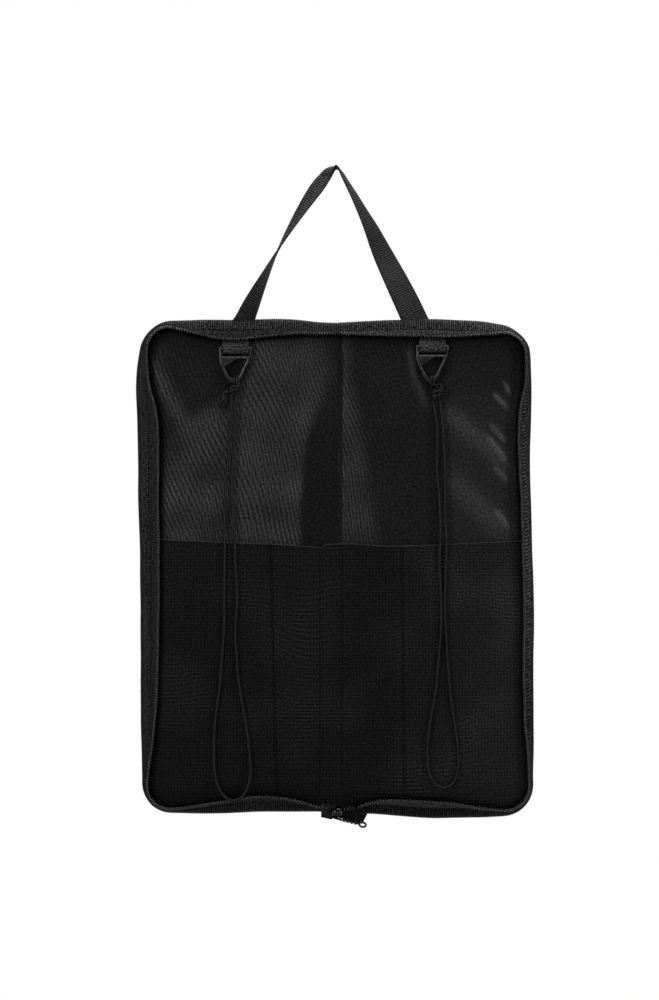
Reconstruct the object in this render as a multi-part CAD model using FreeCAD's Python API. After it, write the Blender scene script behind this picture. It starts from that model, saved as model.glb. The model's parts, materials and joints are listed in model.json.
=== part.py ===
import FreeCAD, Part
import math
import os

from FreeCAD import Vector

# Drum stick bag, unzipped and opened like a book, hanging by its webbing handle.
# Millimetres. X to the right, Y to the back, Z up. The origin is the point that the handle hangs from:
# the underside of the strap at its apex. The lining's face is the plane Y = 0 and the bag opens towards -Y.
# Each half turns about a vertical line at its edge of the spine, and the two meet at X = 0 when closed.

# driving dimensions of the bag
TOP = -144.0            # seam along the top edge
BOTTOM = -614.0         # seam along the bottom edge
HALF_WIDTH = 188.0      # from the middle of the spine to the outer seam
CORNER = 30.0           # radius of the two outer corners of a half
SPINE = 12.0            # half of the spine's width, and each half's depth
FOLD_GAP = 0.3          # between a half's panels and its hinge line
SPINE_EDGE = 11.85      # where the spine's own panels end

# fabric and foam, from the lining's face to the back
LINING_THICK = 0.5
FOAM_THICK = 3.0
OUTER_THICK = 1.0
BACK = LINING_THICK + FOAM_THICK + OUTER_THICK

# the gusset and the zip round three sides of each half, as insets from the outer seam and depths
BAND_THICK = 1.2
BAND_INSET = 9.0
BAND_DEPTH = -8.0
TAPE_START = 9.2
TAPE_END = 14.6
TAPE_FRONT = -10.8
TAPE_THICK = 2.3
COIL_INSET = 17.0
COIL_SIZE = 3.0
CHAIN_DEPTH = -11.7
TOP_START = SPINE + 12.3        # the gusset of a half starts here along the top
BOTTOM_START = SPINE + 26.0     # and here along the bottom, where the slider parks
STOP_LENGTH = 3.6

# stick pockets
POCKET_TOP = -359.0
POCKET_BOTTOM = -604.0
POCKET_INSET = 10.0
POCKET_DEPTH = -5.4
POCKET_THICK = 0.8
POCKET_ROOT = -0.55             # middle of the fabric where it is sewn down
POCKET_SLOPE = 7.5
DIVIDER = {"left": 61.0, "right": 62.0}

# webbing tabs and D-rings
TAB_WIDTH = 25.0
TAB_THICK = 1.4
TAB_RISE = 9.4
RING_DEPTH = -6.8               # the plane of the rings
RING_THICK = 4.6
RING_HALF_WIDTH = 16.0
RING_ROUND = 1.3
SLOT_HALF_WIDTH = 12.8
RING_HEIGHT = 33.3              # from the bar's middle to the bottom of the ring
RING_PLACE = {"left": (-96.9, -172.6), "right": (90.2, -171.1)}
CORD_PIVOT = 31.3               # from the bar's middle to the middle of the bottom bow

# elastic cords
CORD = 2.8
BOW = 4.25                      # radius of the cord's turn round the ring
KNOT = {"left": (-97.5, -208.6, -215.7), "right": (92.7, -207.2, -222.0)}
KNOT_WIDTH = 12.0
KNOT_DEPTH = 8.0
CORD_DEPTH = -7.4

# handle
STRAP_WIDTH = 25.0
STRAP_THICK = 1.6
STRAP_FOOT = TOP + 0.4          # the strap's two ends stop just above the halves

# zip slider and its pull
SLIDER_X = 1.0
SLIDER_Y = -18.0
SLIDER_LENGTH = 18.0
SLIDER_WIDTH = 9.6
PLATE = 1.6
SLIDER_TOP = -606.4
SLIDER_BASE = -614.4
BRIDGE_DROP = 6.2
PULL_PIVOT = (-3.0, -617.5)
PULL_BAR = 1.8
PULL_LENGTH = 28.0
PULL_WIDTH = 9.0

# The cords' routes, as (x, y, z) from one side of the knot round the loop and back to the knot.
LEFT_ROUTE = [
    (-100.7, -7.4, -215.7), (-101.0, -7.4, -242.0), (-103.3, -7.4, -272.0), (-106.2, -7.4, -306.0),
    (-107.6, -7.4, -336.0), (-107.0, -7.4, -368.0), (-107.9, -7.4, -400.0), (-107.2, -7.4, -432.0),
    (-109.8, -7.4, -465.0), (-111.8, -7.4, -494.0), (-116.2, -7.4, -522.0), (-117.8, -7.4, -551.0),
    (-116.6, -7.4, -573.0), (-111.0, -7.4, -586.0), (-99.5, -7.4, -591.5), (-88.0, -7.4, -587.5),
    (-82.6, -7.4, -575.0), (-83.4, -7.4, -554.0), (-87.0, -7.4, -528.0), (-92.8, -7.4, -499.0),
    (-95.9, -7.4, -469.0), (-97.4, -7.4, -436.0), (-94.9, -7.4, -408.0), (-97.0, -7.4, -377.0),
    (-97.9, -7.4, -345.0), (-101.2, -7.4, -306.0), (-98.7, -7.4, -272.0), (-96.8, -7.4, -242.0),
    (-96.4, -7.4, -215.7),
]
RIGHT_ROUTE = [
    (90.6, -7.4, -222.0), (94.6, -7.4, -241.0), (94.6, -7.4, -266.0), (94.0, -7.4, -287.0),
    (96.9, -7.4, -318.0), (97.9, -7.4, -348.0), (96.6, -7.4, -378.0), (98.2, -7.4, -408.0),
    (98.7, -7.4, -438.0), (95.9, -7.4, -468.0), (93.6, -7.4, -498.0), (87.6, -7.4, -528.0),
    (84.9, -7.4, -556.0), (86.0, -7.4, -574.0), (92.0, -7.4, -586.5), (101.0, -7.4, -590.5),
    (110.0, -7.4, -586.0), (115.2, -7.4, -573.0), (114.2, -7.4, -547.0), (109.6, -7.4, -520.0),
    (105.6, -7.4, -488.0), (103.8, -7.4, -456.0), (101.9, -7.4, -424.0), (102.0, -7.4, -394.0),
    (103.7, -7.4, -362.0), (101.9, -7.4, -326.0), (102.4, -7.4, -290.0), (100.6, -7.4, -262.0),
    (99.6, -7.4, -241.0), (97.2, -7.4, -222.0),
]

# Where the strap's middle runs, from the left foot over the apex to the right foot: x, z and the
# angle in degrees that its width is turned out of the plane of the bag.
STRAP_LINE = [
    (-91.6, -152.0, 40.0), (-74.0, -113.5, 66.0), (-58.4, -82.6, 90.0), (-38.0, -47.5, 112.0),
    (-18.5, -18.5, 122.0), (-7.0, -3.2, 108.0), (0.0, 0.8, 90.0), (5.0, -5.8, 86.0),
    (10.0, -15.5, 80.0), (25.9, -44.7, 63.0), (42.8, -80.8, 39.0), (58.6, -113.0, 24.0),
    (77.8, -152.0, 12.0),
]


def save(shape, node):
    """Write one sub-part and say what it holds."""
    shape.exportStep("parts/" + node + ".step")
    solids = len(shape.Solids)
    print(f"{node:24s} solids {solids}  volume {shape.Volume / 1000:8.2f} cm3  valid {shape.isValid()}")


def block(x, y, z):
    """A box from (low, high) pairs."""
    size = (x[1] - x[0], y[1] - y[0], z[1] - z[0])
    return Part.makeBox(*size, Vector(x[0], y[0], z[0]))


def joined(shapes):
    """One solid from touching ones."""
    return shapes[0].fuse(shapes[1:]).removeSplitter()


def mirrored(shape, side):
    """The right half's shape, or its mirror image for the left."""
    return shape if side == "right" else shape.mirror(Vector(0, 0, 0), Vector(1, 0, 0))


def outline(inset, y, start=0.0):
    """The right half's outline in the plane at y, from x = start, with its two outer corners round."""
    x, low, high = HALF_WIDTH - inset, BOTTOM + inset, TOP - inset
    r = CORNER - inset
    k = r * (1 - math.sqrt(0.5))
    edges = [
        Part.makeLine(Vector(start, y, high), Vector(x - r, y, high)),
        Part.Arc(Vector(x - r, y, high), Vector(x - k, y, high - k), Vector(x, y, high - r)).toShape(),
        Part.makeLine(Vector(x, y, high - r), Vector(x, y, low + r)),
        Part.Arc(Vector(x, y, low + r), Vector(x - k, y, low + k), Vector(x - r, y, low)).toShape(),
        Part.makeLine(Vector(x - r, y, low), Vector(start, y, low)),
        Part.makeLine(Vector(start, y, low), Vector(start, y, high)),
    ]
    return Part.Wire(edges)


def plate(inset, y0, y1, start):
    """A flat sheet with the half's outline, from y0 to y1."""
    return Part.Face(outline(inset, y0, start)).extrude(Vector(0, y1 - y0, 0))


def tapered(inset0, y0, inset1, y1):
    """A block whose outline goes from one inset to another."""
    return Part.makeLoft([outline(inset0, y0), outline(inset1, y1)], True, True)


def gusset(inset0, y0, inset1, y1, thick):
    """A strip that runs round three sides of the right half, leaning in from inset0 to inset1."""
    whole = tapered(inset0, y0, inset1, y1)
    return whole.cut(tapered(inset0 + thick, y0, inset1 + thick, y1))


def trimmed(strip, top_start):
    """A gusset strip without the stretch beside the spine, which the spine's own end walls close."""
    middle = (TOP + BOTTOM) / 2
    strip = strip.cut(block((-5, top_start), (-40, 40), (middle, TOP + 5)))
    return strip.cut(block((-5, BOTTOM_START), (-40, 40), (BOTTOM - 5, middle)))


def half_panels(side):
    """The lining, foam and outer shell of one half."""
    start = SPINE + FOLD_GAP
    inset = BAND_THICK + 0.1
    layers = [("lining", LINING_THICK), ("padding", FOAM_THICK), ("outer_panel", OUTER_THICK)]
    y = 0.0
    for name, thick in layers:
        save(mirrored(plate(inset, y, y + thick, start), side), f"{side}_{name}")
        y += thick


def half_edge(side):
    """The ribbed band, the zip tape, the zip coil and the coil's top stop of one half."""
    rim = gusset(0, BACK, 0, 0, BAND_THICK)
    band = rim.fuse(gusset(0, 0, BAND_INSET, BAND_DEPTH, BAND_THICK)).removeSplitter()
    save(mirrored(trimmed(band, TOP_START), side), f"{side}_edge_band")

    tape = gusset(TAPE_START, BAND_DEPTH - 0.1, TAPE_END, TAPE_FRONT, TAPE_THICK)
    save(mirrored(trimmed(tape, TOP_START), side), f"{side}_zip_tape")

    coil = gusset(COIL_INSET, CHAIN_DEPTH, COIL_INSET, CHAIN_DEPTH + COIL_SIZE, COIL_SIZE)
    save(mirrored(trimmed(coil, TOP_START + STOP_LENGTH + 0.1), side), f"{side}_zip_coil")

    z = TOP - COIL_INSET
    depth = (CHAIN_DEPTH, CHAIN_DEPTH + COIL_SIZE)
    stop = block((TOP_START, TOP_START + STOP_LENGTH), depth, (z - COIL_SIZE, z))
    save(mirrored(stop.makeFillet(0.6, stop.Edges), side), f"{side}_zip_stop")


def half_pockets(side):
    """The pocket sheet of one half: two open-topped pockets with a sewn divider between them."""
    divider = DIVIDER[side]
    inner = SPINE + 1.5
    outer = HALF_WIDTH - POCKET_INSET - 1
    line = [
        (inner, POCKET_ROOT), (inner + POCKET_SLOPE, POCKET_DEPTH),
        (divider - POCKET_SLOPE, POCKET_DEPTH), (divider, POCKET_ROOT),
        (divider + POCKET_SLOPE, POCKET_DEPTH), (outer - POCKET_SLOPE, POCKET_DEPTH), (outer, POCKET_ROOT),
    ]
    t = POCKET_THICK / 2
    section = [Vector(x, y - t, POCKET_BOTTOM) for x, y in line]
    section += [Vector(x, y + t, POCKET_BOTTOM) for x, y in reversed(line)]
    height = Vector(0, 0, POCKET_TOP - POCKET_BOTTOM)
    sheet = Part.Face(Part.makePolygon(section + section[:1])).extrude(height)
    across = (inner + POCKET_SLOPE, outer - POCKET_SLOPE)
    floor = block(across, (POCKET_DEPTH, POCKET_ROOT), (POCKET_BOTTOM, POCKET_BOTTOM + POCKET_THICK))
    inside = plate(POCKET_INSET, 0, POCKET_DEPTH - 1, 0)
    save(mirrored(joined([sheet, floor]).common(inside), side), f"{side}_pocket_panel")


def spine_parts():
    """The spine's layers, the strip of pocket fabric across it and the walls that close its two ends."""
    across = (-SPINE_EDGE, SPINE_EDGE)
    low, high = BOTTOM + BAND_THICK + 0.1, TOP - BAND_THICK - 0.1
    layers = [("lining", LINING_THICK), ("padding", FOAM_THICK), ("outer_panel", OUTER_THICK)]
    y = 0.0
    for name, thick in layers:
        save(block(across, (y, y + thick), (low, high)), f"spine_{name}")
        y += thick
    strip = (POCKET_ROOT - POCKET_THICK / 2, POCKET_ROOT + POCKET_THICK / 2)
    save(block(across, strip, (POCKET_BOTTOM, POCKET_TOP)), "spine_pocket_panel")

    lean = 7.5
    for node, z, inward in (("spine_top_wall", TOP, -1), ("spine_bottom_wall", BOTTOM, 1)):
        profile = [
            (BACK, 0), (0, 0), (CHAIN_DEPTH, lean), (CHAIN_DEPTH, lean + BAND_THICK), (0, BAND_THICK),
            (BACK, BAND_THICK),
        ]
        points = [Vector(-SPINE_EDGE, y, z + inward * rise) for y, rise in profile]
        wall = Part.Face(Part.makePolygon(points + points[:1])).extrude(Vector(2 * SPINE_EDGE, 0, 0))
        save(wall, node)


def ring_tab(side):
    """A folded webbing tab, sewn to the lining at its top, whose loop holds the ring's bar."""
    x, z = RING_PLACE[side]
    r = RING_THICK / 2 + 0.1
    out = r + TAB_THICK
    front, back = RING_DEPTH - out, RING_DEPTH + out
    top = z + TAB_RISE
    left = x - TAB_WIDTH / 2
    points = [(back, z), (back, z + 0.5), (-0.05, z + 3), (-0.05, top), (-2.9, top), (front, z + 0.5), (front, z)]
    corners = [Vector(left, a, b) for a, b in points]
    bow = Part.Arc(corners[-1], Vector(left, RING_DEPTH, z - out), corners[0]).toShape()
    edges = [Part.makeLine(a, b) for a, b in zip(corners, corners[1:])]
    tab = Part.Face(Part.Wire(edges + [bow])).extrude(Vector(TAB_WIDTH, 0, 0))
    bore = Part.makeCylinder(r, TAB_WIDTH + 2, Vector(left - 1, RING_DEPTH, z), Vector(1, 0, 0))
    save(tab.cut(bore), f"{side}_ring_tab")


def rounded(corners, y):
    """A closed wire in the plane at y, from (x, z, radius) corners: straight sides and tangent arcs."""
    edges = []
    ends = []
    for i, (x, z, r) in enumerate(corners):
        here = Vector(x, y, z)
        before = (Vector(corners[i - 1][0], y, corners[i - 1][1]) - here).normalize()
        nxt = corners[(i + 1) % len(corners)]
        after = (Vector(nxt[0], y, nxt[1]) - here).normalize()
        half = before.getAngle(after) / 2
        reach = r / math.tan(half)
        start, end = here + before * reach, here + after * reach
        ends.append((start, end))
        if r > 0:
            middle = here + (before + after).normalize() * (r / math.sin(half) - r)
            edges.append(Part.Arc(start, middle, end).toShape())
    for i, (start, end) in enumerate(ends):
        edges.append(Part.makeLine(ends[i - 1][1], start))
    return Part.Wire(Part.__sortEdges__(edges))


def d_ring(side):
    """A moulded D-ring: a round bar in the tab, a slot, a cross bar with a web at its left end, and a V."""
    x, z = RING_PLACE[side]
    w = RING_HALF_WIDTH
    back = RING_DEPTH + RING_THICK / 2
    depth = Vector(0, -RING_THICK, 0)
    outer = [(-w, 0, 0), (w, 0, 0), (14.4, -9.5, 14), (6.3, -26.9, 20), (0, -35.7, 5),
             (-8.6, -29.5, 18), (-15.6, -13.5, 18)]
    hole = [(10.9, -9.9, 1.2), (3.4, -25.6, 6), (-0.3, -29.9, 1.6), (-6.2, -26, 5), (-10.5, -17.6, 1.5),
            (0.8, -9.9, 9)]
    body = Part.Face(rounded(outer, back)).extrude(depth)
    body = body.cut(Part.Face(rounded(hole, back)).extrude(depth))
    rims = [e for e in body.Edges if e.BoundBox.YLength < 0.01 and e.BoundBox.ZMin < -1]
    body = body.makeFillet(RING_ROUND, rims)
    slot_low = -7.3
    body = body.cut(block((-SLOT_HALF_WIDTH, SLOT_HALF_WIDTH), (-20, 20), (slot_low, 5)))
    bar = Part.makeCylinder(RING_THICK / 2, 2 * w, Vector(-w, RING_DEPTH, 0), Vector(1, 0, 0))
    ring = body.fuse(bar).removeSplitter()
    ring.translate(Vector(x, 0, z))
    save(ring, f"{side}_d_ring")


def cord_tube(route, node):
    """A tube along straight runs joined by tangent arcs, each as large as its two runs allow."""
    points = [Vector(*p) for p in route]
    edges = []
    radii = []
    here = points[0]
    for a, b, c in zip(points, points[1:], points[2:]):
        before, after = (b - a), (c - b)
        turn = before.getAngle(after)
        reach = 0.45 * min(before.Length, after.Length)
        radii.append(reach / math.tan(turn / 2))
        u, v = before.normalize(), after.normalize()
        start, end = b - u * reach, b + v * reach
        middle = (start + end) * 0.5
        inward = middle - b
        r = radii[-1]
        drop = math.hypot(r, reach) - r
        edges.append(Part.makeLine(here, start))
        edges.append(Part.Arc(start, b + inward.normalize() * drop, end).toShape())
        here = end
    edges.append(Part.makeLine(here, points[-1]))
    path = Part.Wire(edges)
    tangent = points[1] - points[0]
    profile = Part.Wire(Part.makeCircle(CORD / 2, points[0], tangent))
    tube = path.makePipeShell([profile], True, False, 2)
    expected = path.Length * math.pi * CORD**2 / 4
    print(f"{node}: length {path.Length:.1f}, smallest radius {min(radii):.1f}, "
          f"largest {max(radii):.0f}, volume {tube.Volume / expected:.4f} of section times length")
    save(tube, node)


def knot(side):
    """The knot under the ring, the turn of cord round the ring's bow and, on the left, two loose ends."""
    x, top, bottom = KNOT[side]
    ring_x, ring_z = RING_PLACE[side]
    half, deep = KNOT_WIDTH / 2, KNOT_DEPTH / 2
    body = block((x - half, x + half), (RING_DEPTH - deep, RING_DEPTH + deep), (bottom, top))
    upright = [e for e in body.Edges if e.BoundBox.ZLength > 1]
    body = body.makeFillet(deep - 0.6, upright)
    body = body.makeFillet(1.2, [e for e in body.Edges if e.BoundBox.ZLength < 0.01 and e.BoundBox.ZMin > top - 1])
    turn = Part.makeTorus(BOW, CORD / 2, Vector(ring_x, RING_DEPTH, ring_z - CORD_PIVOT), Vector(1, 0, 0))
    pieces = [body, turn]
    if side == "left":
        for end in (Vector(-8.5, -0.6, -20), Vector(-12.5, 0.8, -17)):
            start = Vector(x - half + 1.5, RING_DEPTH, top - 3)
            pieces.append(Part.makeCylinder(CORD / 2 - 0.2, end.Length, start, end))
    save(joined(pieces), f"{side}_cord_knot")


def handle_strap():
    """The webbing handle: sections along its line, each turned by its own angle, joined by triangles."""
    sections = []
    for i, (x, z, angle) in enumerate(STRAP_LINE):
        before, after = STRAP_LINE[max(i - 1, 0)], STRAP_LINE[min(i + 1, len(STRAP_LINE) - 1)]
        along = Vector(after[0] - before[0], 0, after[1] - before[1]).normalize()
        flat = Vector(along.z, 0, -along.x)
        turn = math.radians(angle)
        wide = flat * math.cos(turn) + Vector(0, math.sin(turn), 0)
        thick = along.cross(wide) * (STRAP_THICK / 2)
        wide = wide * (STRAP_WIDTH / 2)
        middle = Vector(x, 0, z)
        sections.append([middle + wide + thick, middle - wide + thick, middle - wide - thick, middle + wide - thick])
    triangles = []
    for near, far in zip(sections, sections[1:]):
        for k in range(4):
            a, b, c, d = near[k], near[k - 1], far[k - 1], far[k]
            triangles += [(a, b, c), (a, c, d)]
    for end in (sections[0], sections[-1]):
        triangles += [(end[0], end[1], end[2]), (end[0], end[2], end[3])]
    faces = [Part.Face(Part.makePolygon([*t, t[0]])) for t in triangles]
    solid = Part.Solid(Part.Shell(faces))
    if solid.Volume < 0:
        solid.reverse()
    save(solid.common(block((-150, 150), (-40, 40), (STRAP_FOOT, 20))), "handle_strap")


def zip_slider():
    """The slider: two plates joined by a post, with a bridge under the outer plate for the pull."""
    x0, x1 = SLIDER_X - SLIDER_LENGTH / 2, SLIDER_X + SLIDER_LENGTH / 2
    y0, y1 = SLIDER_Y - SLIDER_WIDTH / 2, SLIDER_Y + SLIDER_WIDTH / 2
    plates = []
    for z in (SLIDER_TOP - PLATE, SLIDER_BASE):
        flat = block((x0, x1), (y0, y1), (z, z + PLATE))
        plates.append(flat.makeFillet(3.5, [e for e in flat.Edges if e.BoundBox.ZLength > 1]))
    post = block((x0 + 2, x0 + 7), (SLIDER_Y - 1.5, SLIDER_Y + 1.5), (SLIDER_BASE + PLATE, SLIDER_TOP - PLATE))
    low = SLIDER_BASE - BRIDGE_DROP
    bridge = block((-6, 8), (SLIDER_Y - 1.6, SLIDER_Y + 1.6), (low, SLIDER_BASE))
    bridge = bridge.cut(block((-4.4, 6.4), (SLIDER_Y - 2, SLIDER_Y + 2), (low + 1.6, SLIDER_BASE)))
    save(joined(plates + [post, bridge]), "zip_slider")


def zip_pull():
    """The pull: a bar through the slider's bridge, two rails past it and a flat tongue."""
    x, z = PULL_PIVOT
    half = PULL_WIDTH / 2
    t = PULL_BAR / 2
    slot = 2.3
    bar = Part.makeCylinder(t, PULL_WIDTH, Vector(x, SLIDER_Y - half, z), Vector(0, 1, 0))
    pieces = [bar]
    for low in (SLIDER_Y - half, SLIDER_Y + slot):
        pieces.append(block((x, x + 12.4), (low, low + half - slot), (z - t, z + t)))
    tongue = block((x + 12.2, x + PULL_LENGTH), (SLIDER_Y - half, SLIDER_Y + half), (z - t, z + t))
    hole = Part.makeCylinder(1.6, 4, Vector(x + PULL_LENGTH - 4, SLIDER_Y, z - 2), Vector(0, 0, 1))
    save(joined(pieces + [tongue]).cut(hole), "zip_pull")


def zip_tape_ends():
    """The free ends of the two zip tapes, which stick out below the bag at each side of the slider."""
    y = (-12.8, -12.0)
    left = joined([block((-11.6, -8.3), y, (-618, -606)), block((-15.7, -11.5), y, (-618, -614.6))])
    right = joined([block((10.3, 11.7), y, (-621, -606)), block((11.6, 24), y, (-621, -614.6))])
    save(Part.makeCompound([left, right]), "zip_tape_ends")


os.makedirs("parts", exist_ok=True)
for half in ("left", "right"):
    half_panels(half)
    half_edge(half)
    half_pockets(half)
    ring_tab(half)
    d_ring(half)
    knot(half)
cord_tube(LEFT_ROUTE, "left_cord")
cord_tube(RIGHT_ROUTE, "right_cord")
spine_parts()
handle_strap()
zip_slider()
zip_pull()
zip_tape_ends()
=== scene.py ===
import json
import math

import bmesh
import bpy
import numpy as np
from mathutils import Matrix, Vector


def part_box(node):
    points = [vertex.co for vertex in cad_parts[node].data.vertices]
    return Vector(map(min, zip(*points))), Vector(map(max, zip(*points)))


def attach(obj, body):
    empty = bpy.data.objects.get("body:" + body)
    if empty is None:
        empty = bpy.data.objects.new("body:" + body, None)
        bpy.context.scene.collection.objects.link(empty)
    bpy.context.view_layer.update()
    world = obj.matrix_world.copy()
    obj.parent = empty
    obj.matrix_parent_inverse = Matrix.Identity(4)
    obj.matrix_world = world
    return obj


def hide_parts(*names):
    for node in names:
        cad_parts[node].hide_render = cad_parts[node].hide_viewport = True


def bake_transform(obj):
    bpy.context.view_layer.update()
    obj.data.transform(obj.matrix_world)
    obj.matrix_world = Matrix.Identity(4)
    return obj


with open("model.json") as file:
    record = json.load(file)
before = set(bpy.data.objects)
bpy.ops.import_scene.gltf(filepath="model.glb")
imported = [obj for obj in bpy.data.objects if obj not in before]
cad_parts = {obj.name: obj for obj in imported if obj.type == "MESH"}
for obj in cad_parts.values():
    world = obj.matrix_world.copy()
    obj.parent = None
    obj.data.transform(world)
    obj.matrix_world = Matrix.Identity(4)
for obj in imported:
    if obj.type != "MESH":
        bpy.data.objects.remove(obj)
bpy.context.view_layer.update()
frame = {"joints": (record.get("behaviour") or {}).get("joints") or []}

# The drum stick bag, hanging open. Lengths are in metres, MM times a number of millimetres.
# One set of functions draws both halves, as if each were on the right, and the left one is then mirrored.
MM = 0.001
SIDES = {"left": -1, "right": 1}

band_low, band_high = (Vector(p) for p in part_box("left_edge_band"))
HALF_WIDTH = -band_low.x
TOP = band_high.z
BOTTOM = band_low.z
BACK = band_high.y
CORNER = 30 * MM
SPINE = 12 * MM
MOUTH = Vector(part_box("left_pocket_panel")[1]).z
DIVIDER = {"left": (63.5 * MM, 57.5 * MM), "right": (61 * MM, 63.5 * MM)}   # at the mouth, at the bottom

# From the outline to the edge of each cloth.
LINING_INSET = 1.3 * MM
POCKET_INSET = 4 * MM
SHELL_INSET = 0.8 * MM


# ---------------------------------------------------------------- numbers and noise

def smooth(low, high, x):
    """0 below low, 1 above high, and a smooth step between them."""
    k = np.clip((np.asarray(x, float) - low) / (high - low), 0, 1)
    return k * k * (3 - 2 * k)


def hump(x, middle, width):
    """A bell curve of height 1."""
    return np.exp(-(((x - middle) / width) ** 2))


def ripples(seed, wavelength, count=9):
    """A smooth uneven function of x and z, about -1 to 1, that is the same every run."""
    rng = np.random.default_rng(seed)
    angles = rng.uniform(0, math.pi, count)
    waves = 2 * math.pi / (wavelength * rng.uniform(0.6, 1.6, count))
    phases = rng.uniform(0, 2 * math.pi, count)

    def value(x, z):
        total = 0
        for angle, wave, phase in zip(angles, waves, phases):
            total = total + np.cos((x * math.cos(angle) + z * math.sin(angle)) * wave + phase)
        return total * (1.6 / count)

    return value


def crease(x, z, start, end, width, height):
    """A soft ridge along the line from start to end, fading out at its ends."""
    a, b = np.array(start) * MM, np.array(end) * MM
    along = b - a
    length = np.hypot(*along)
    along = along / length
    t = (x - a[0]) * along[0] + (z - a[1]) * along[1]
    off = (x - a[0]) * along[1] - (z - a[1]) * along[0]
    fade = smooth(-0.15 * length, 0.3 * length, t) * (1 - smooth(0.7 * length, 1.15 * length, t))
    return height * MM * fade * np.exp(-((off / (width * MM)) ** 2))


# ---------------------------------------------------------------- mesh building

def new_object(name, verts, faces, uvs=None, sharp=()):
    """A smooth-shaded mesh object; uvs holds one pair per vertex, in metres of cloth.

    sharp holds the pairs of vertices whose edges are left crisp.
    """
    mesh = bpy.data.meshes.new(name)
    mesh.from_pydata(np.asarray(verts, float).tolist(), [], faces)
    mesh.polygons.foreach_set("use_smooth", [True] * len(mesh.polygons))
    if sharp:
        crisp = {tuple(sorted(pair)) for pair in sharp}
        layer = mesh.attributes.new("sharp_edge", "BOOLEAN", "EDGE")
        layer.data.foreach_set("value", [tuple(sorted(edge.vertices)) in crisp for edge in mesh.edges])
    if uvs is not None:
        layer = mesh.uv_layers.new(name="cloth")
        index = np.empty(len(mesh.loops), int)
        mesh.loops.foreach_get("vertex_index", index)
        layer.data.foreach_set("uv", np.asarray(uvs, np.float32)[index].ravel())
    mesh.update()
    return placed(name, mesh)


def sheet_faces(m, n, offset=0, reverse=False):
    """Quads over an m by n grid of vertices."""
    i, j = np.meshgrid(np.arange(m - 1), np.arange(n - 1), indexing="ij")
    a = (i * n + j).ravel() + offset
    quads = np.stack([a, a + n, a + n + 1, a + 1], 1)
    return (quads[:, ::-1] if reverse else quads).tolist()


def sheet(name, grid, uv, thick):
    """A closed sheet: the grid is its front, and its back lies thick behind it."""
    m, n = grid.shape[:2]
    normal = np.cross(np.gradient(grid, axis=0), np.gradient(grid, axis=1))
    normal /= np.maximum(np.linalg.norm(normal, axis=2, keepdims=True), 1e-12)
    back = grid - normal * np.broadcast_to(thick, (m, n))[..., None]
    verts = np.concatenate([grid.reshape(-1, 3), back.reshape(-1, 3)])
    uvs = np.concatenate([uv.reshape(-1, 2)] * 2)
    faces = sheet_faces(m, n) + sheet_faces(m, n, m * n, True)
    loop = [(i, 0) for i in range(m)] + [(m - 1, j) for j in range(1, n)]
    loop += [(i, n - 1) for i in range(m - 2, -1, -1)] + [(0, j) for j in range(n - 2, 0, -1)]
    ids = [i * n + j for i, j in loop]
    sharp = []
    for a, b in zip(ids, ids[1:] + ids[:1]):
        faces.append([b, a, a + m * n, b + m * n])
        sharp += [(a, b), (a + m * n, b + m * n)]
    return new_object(name, verts, faces, uvs, sharp)


def paint(obj, name, values):
    """Store one number per vertex, for the material to read; values may cover the front alone."""
    count = len(obj.data.vertices)
    layer = obj.data.attributes.new(name, "FLOAT", "POINT")
    layer.data.foreach_set("value", np.resize(np.asarray(values, np.float32).ravel(), count))


def half_sheet(side, name, grid, uv, thick, painted=None, faces_back=False):
    """A sheet over one half, and its painted numbers.

    The grid is the right half's, seen from the front or from the back; the left half mirrors it.
    """
    flip = slice(None, None, -1 if (side == "left") != faces_back else 1)
    made = (grid * np.array([SIDES[side], 1.0, 1.0]))[flip]
    obj = sheet(f"{side}_{name}", made, uv[flip], np.broadcast_to(thick, uv.shape[:2])[flip])
    for key, values in (painted or {}).items():
        paint(obj, key, values[flip])
    return obj


def tube_faces(count, sides, closed=False):
    """Quads between count rings of vertices, joined end to end or with a cap at each end."""
    faces = []
    for i in range(count if closed else count - 1):
        a, b = i * sides, ((i + 1) % count) * sides
        for k in range(sides):
            q = (k + 1) % sides
            faces.append([a + k, a + q, b + q, b + k])
    if not closed:
        faces.append(list(range(sides))[::-1])
        faces.append([(count - 1) * sides + k for k in range(sides)])
    return faces


ASKEW = (0.31, 0.95, 0.05)              # a direction that no tube starts out in


def tube_mesh(points, radius, sides=10, closed=False):
    """Vertices and faces of a tube along points; radius may be one number or one for each point."""
    p = np.asarray(points, float)
    if closed:
        along = np.roll(p, -1, 0) - np.roll(p, 1, 0)
    else:
        along = np.gradient(p, axis=0)
    along /= np.linalg.norm(along, axis=1, keepdims=True)
    side = np.cross(along[0], ASKEW)
    frames = []
    for d in along:
        side = side - d * side.dot(d)
        side /= np.linalg.norm(side)
        frames.append((side, np.cross(d, side)))
    radius = np.broadcast_to(radius, len(p))
    turn = np.linspace(0, 2 * math.pi, sides, endpoint=False)
    rings = []
    for q, (u, v), r in zip(p, frames, radius):
        rings.append(q + r * (np.cos(turn)[:, None] * u + np.sin(turn)[:, None] * v))
    return np.concatenate(rings), tube_faces(len(p), sides, closed)


def oval(centre, cosine, sine, radius, steps, sides):
    """A closed tube round an oval; cosine and sine are its two half axes."""
    turn = np.linspace(0, 2 * math.pi, steps, endpoint=False)[:, None]
    points = np.array(centre) + np.cos(turn) * np.array(cosine) + np.sin(turn) * np.array(sine)
    return tube_mesh(points, radius, sides, True)


def gathered(parts):
    """One list of vertices and one of faces from several."""
    verts, faces, start = [], [], 0
    for v, f in parts:
        verts.append(v)
        faces += [[k + start for k in face] for face in f]
        start += len(v)
    return np.concatenate(verts), faces


def placed(name, data):
    """A new object of the scene that shows a mesh, curve, light or camera."""
    obj = bpy.data.objects.new(name, data)
    bpy.context.scene.collection.objects.link(obj)
    return obj


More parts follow.
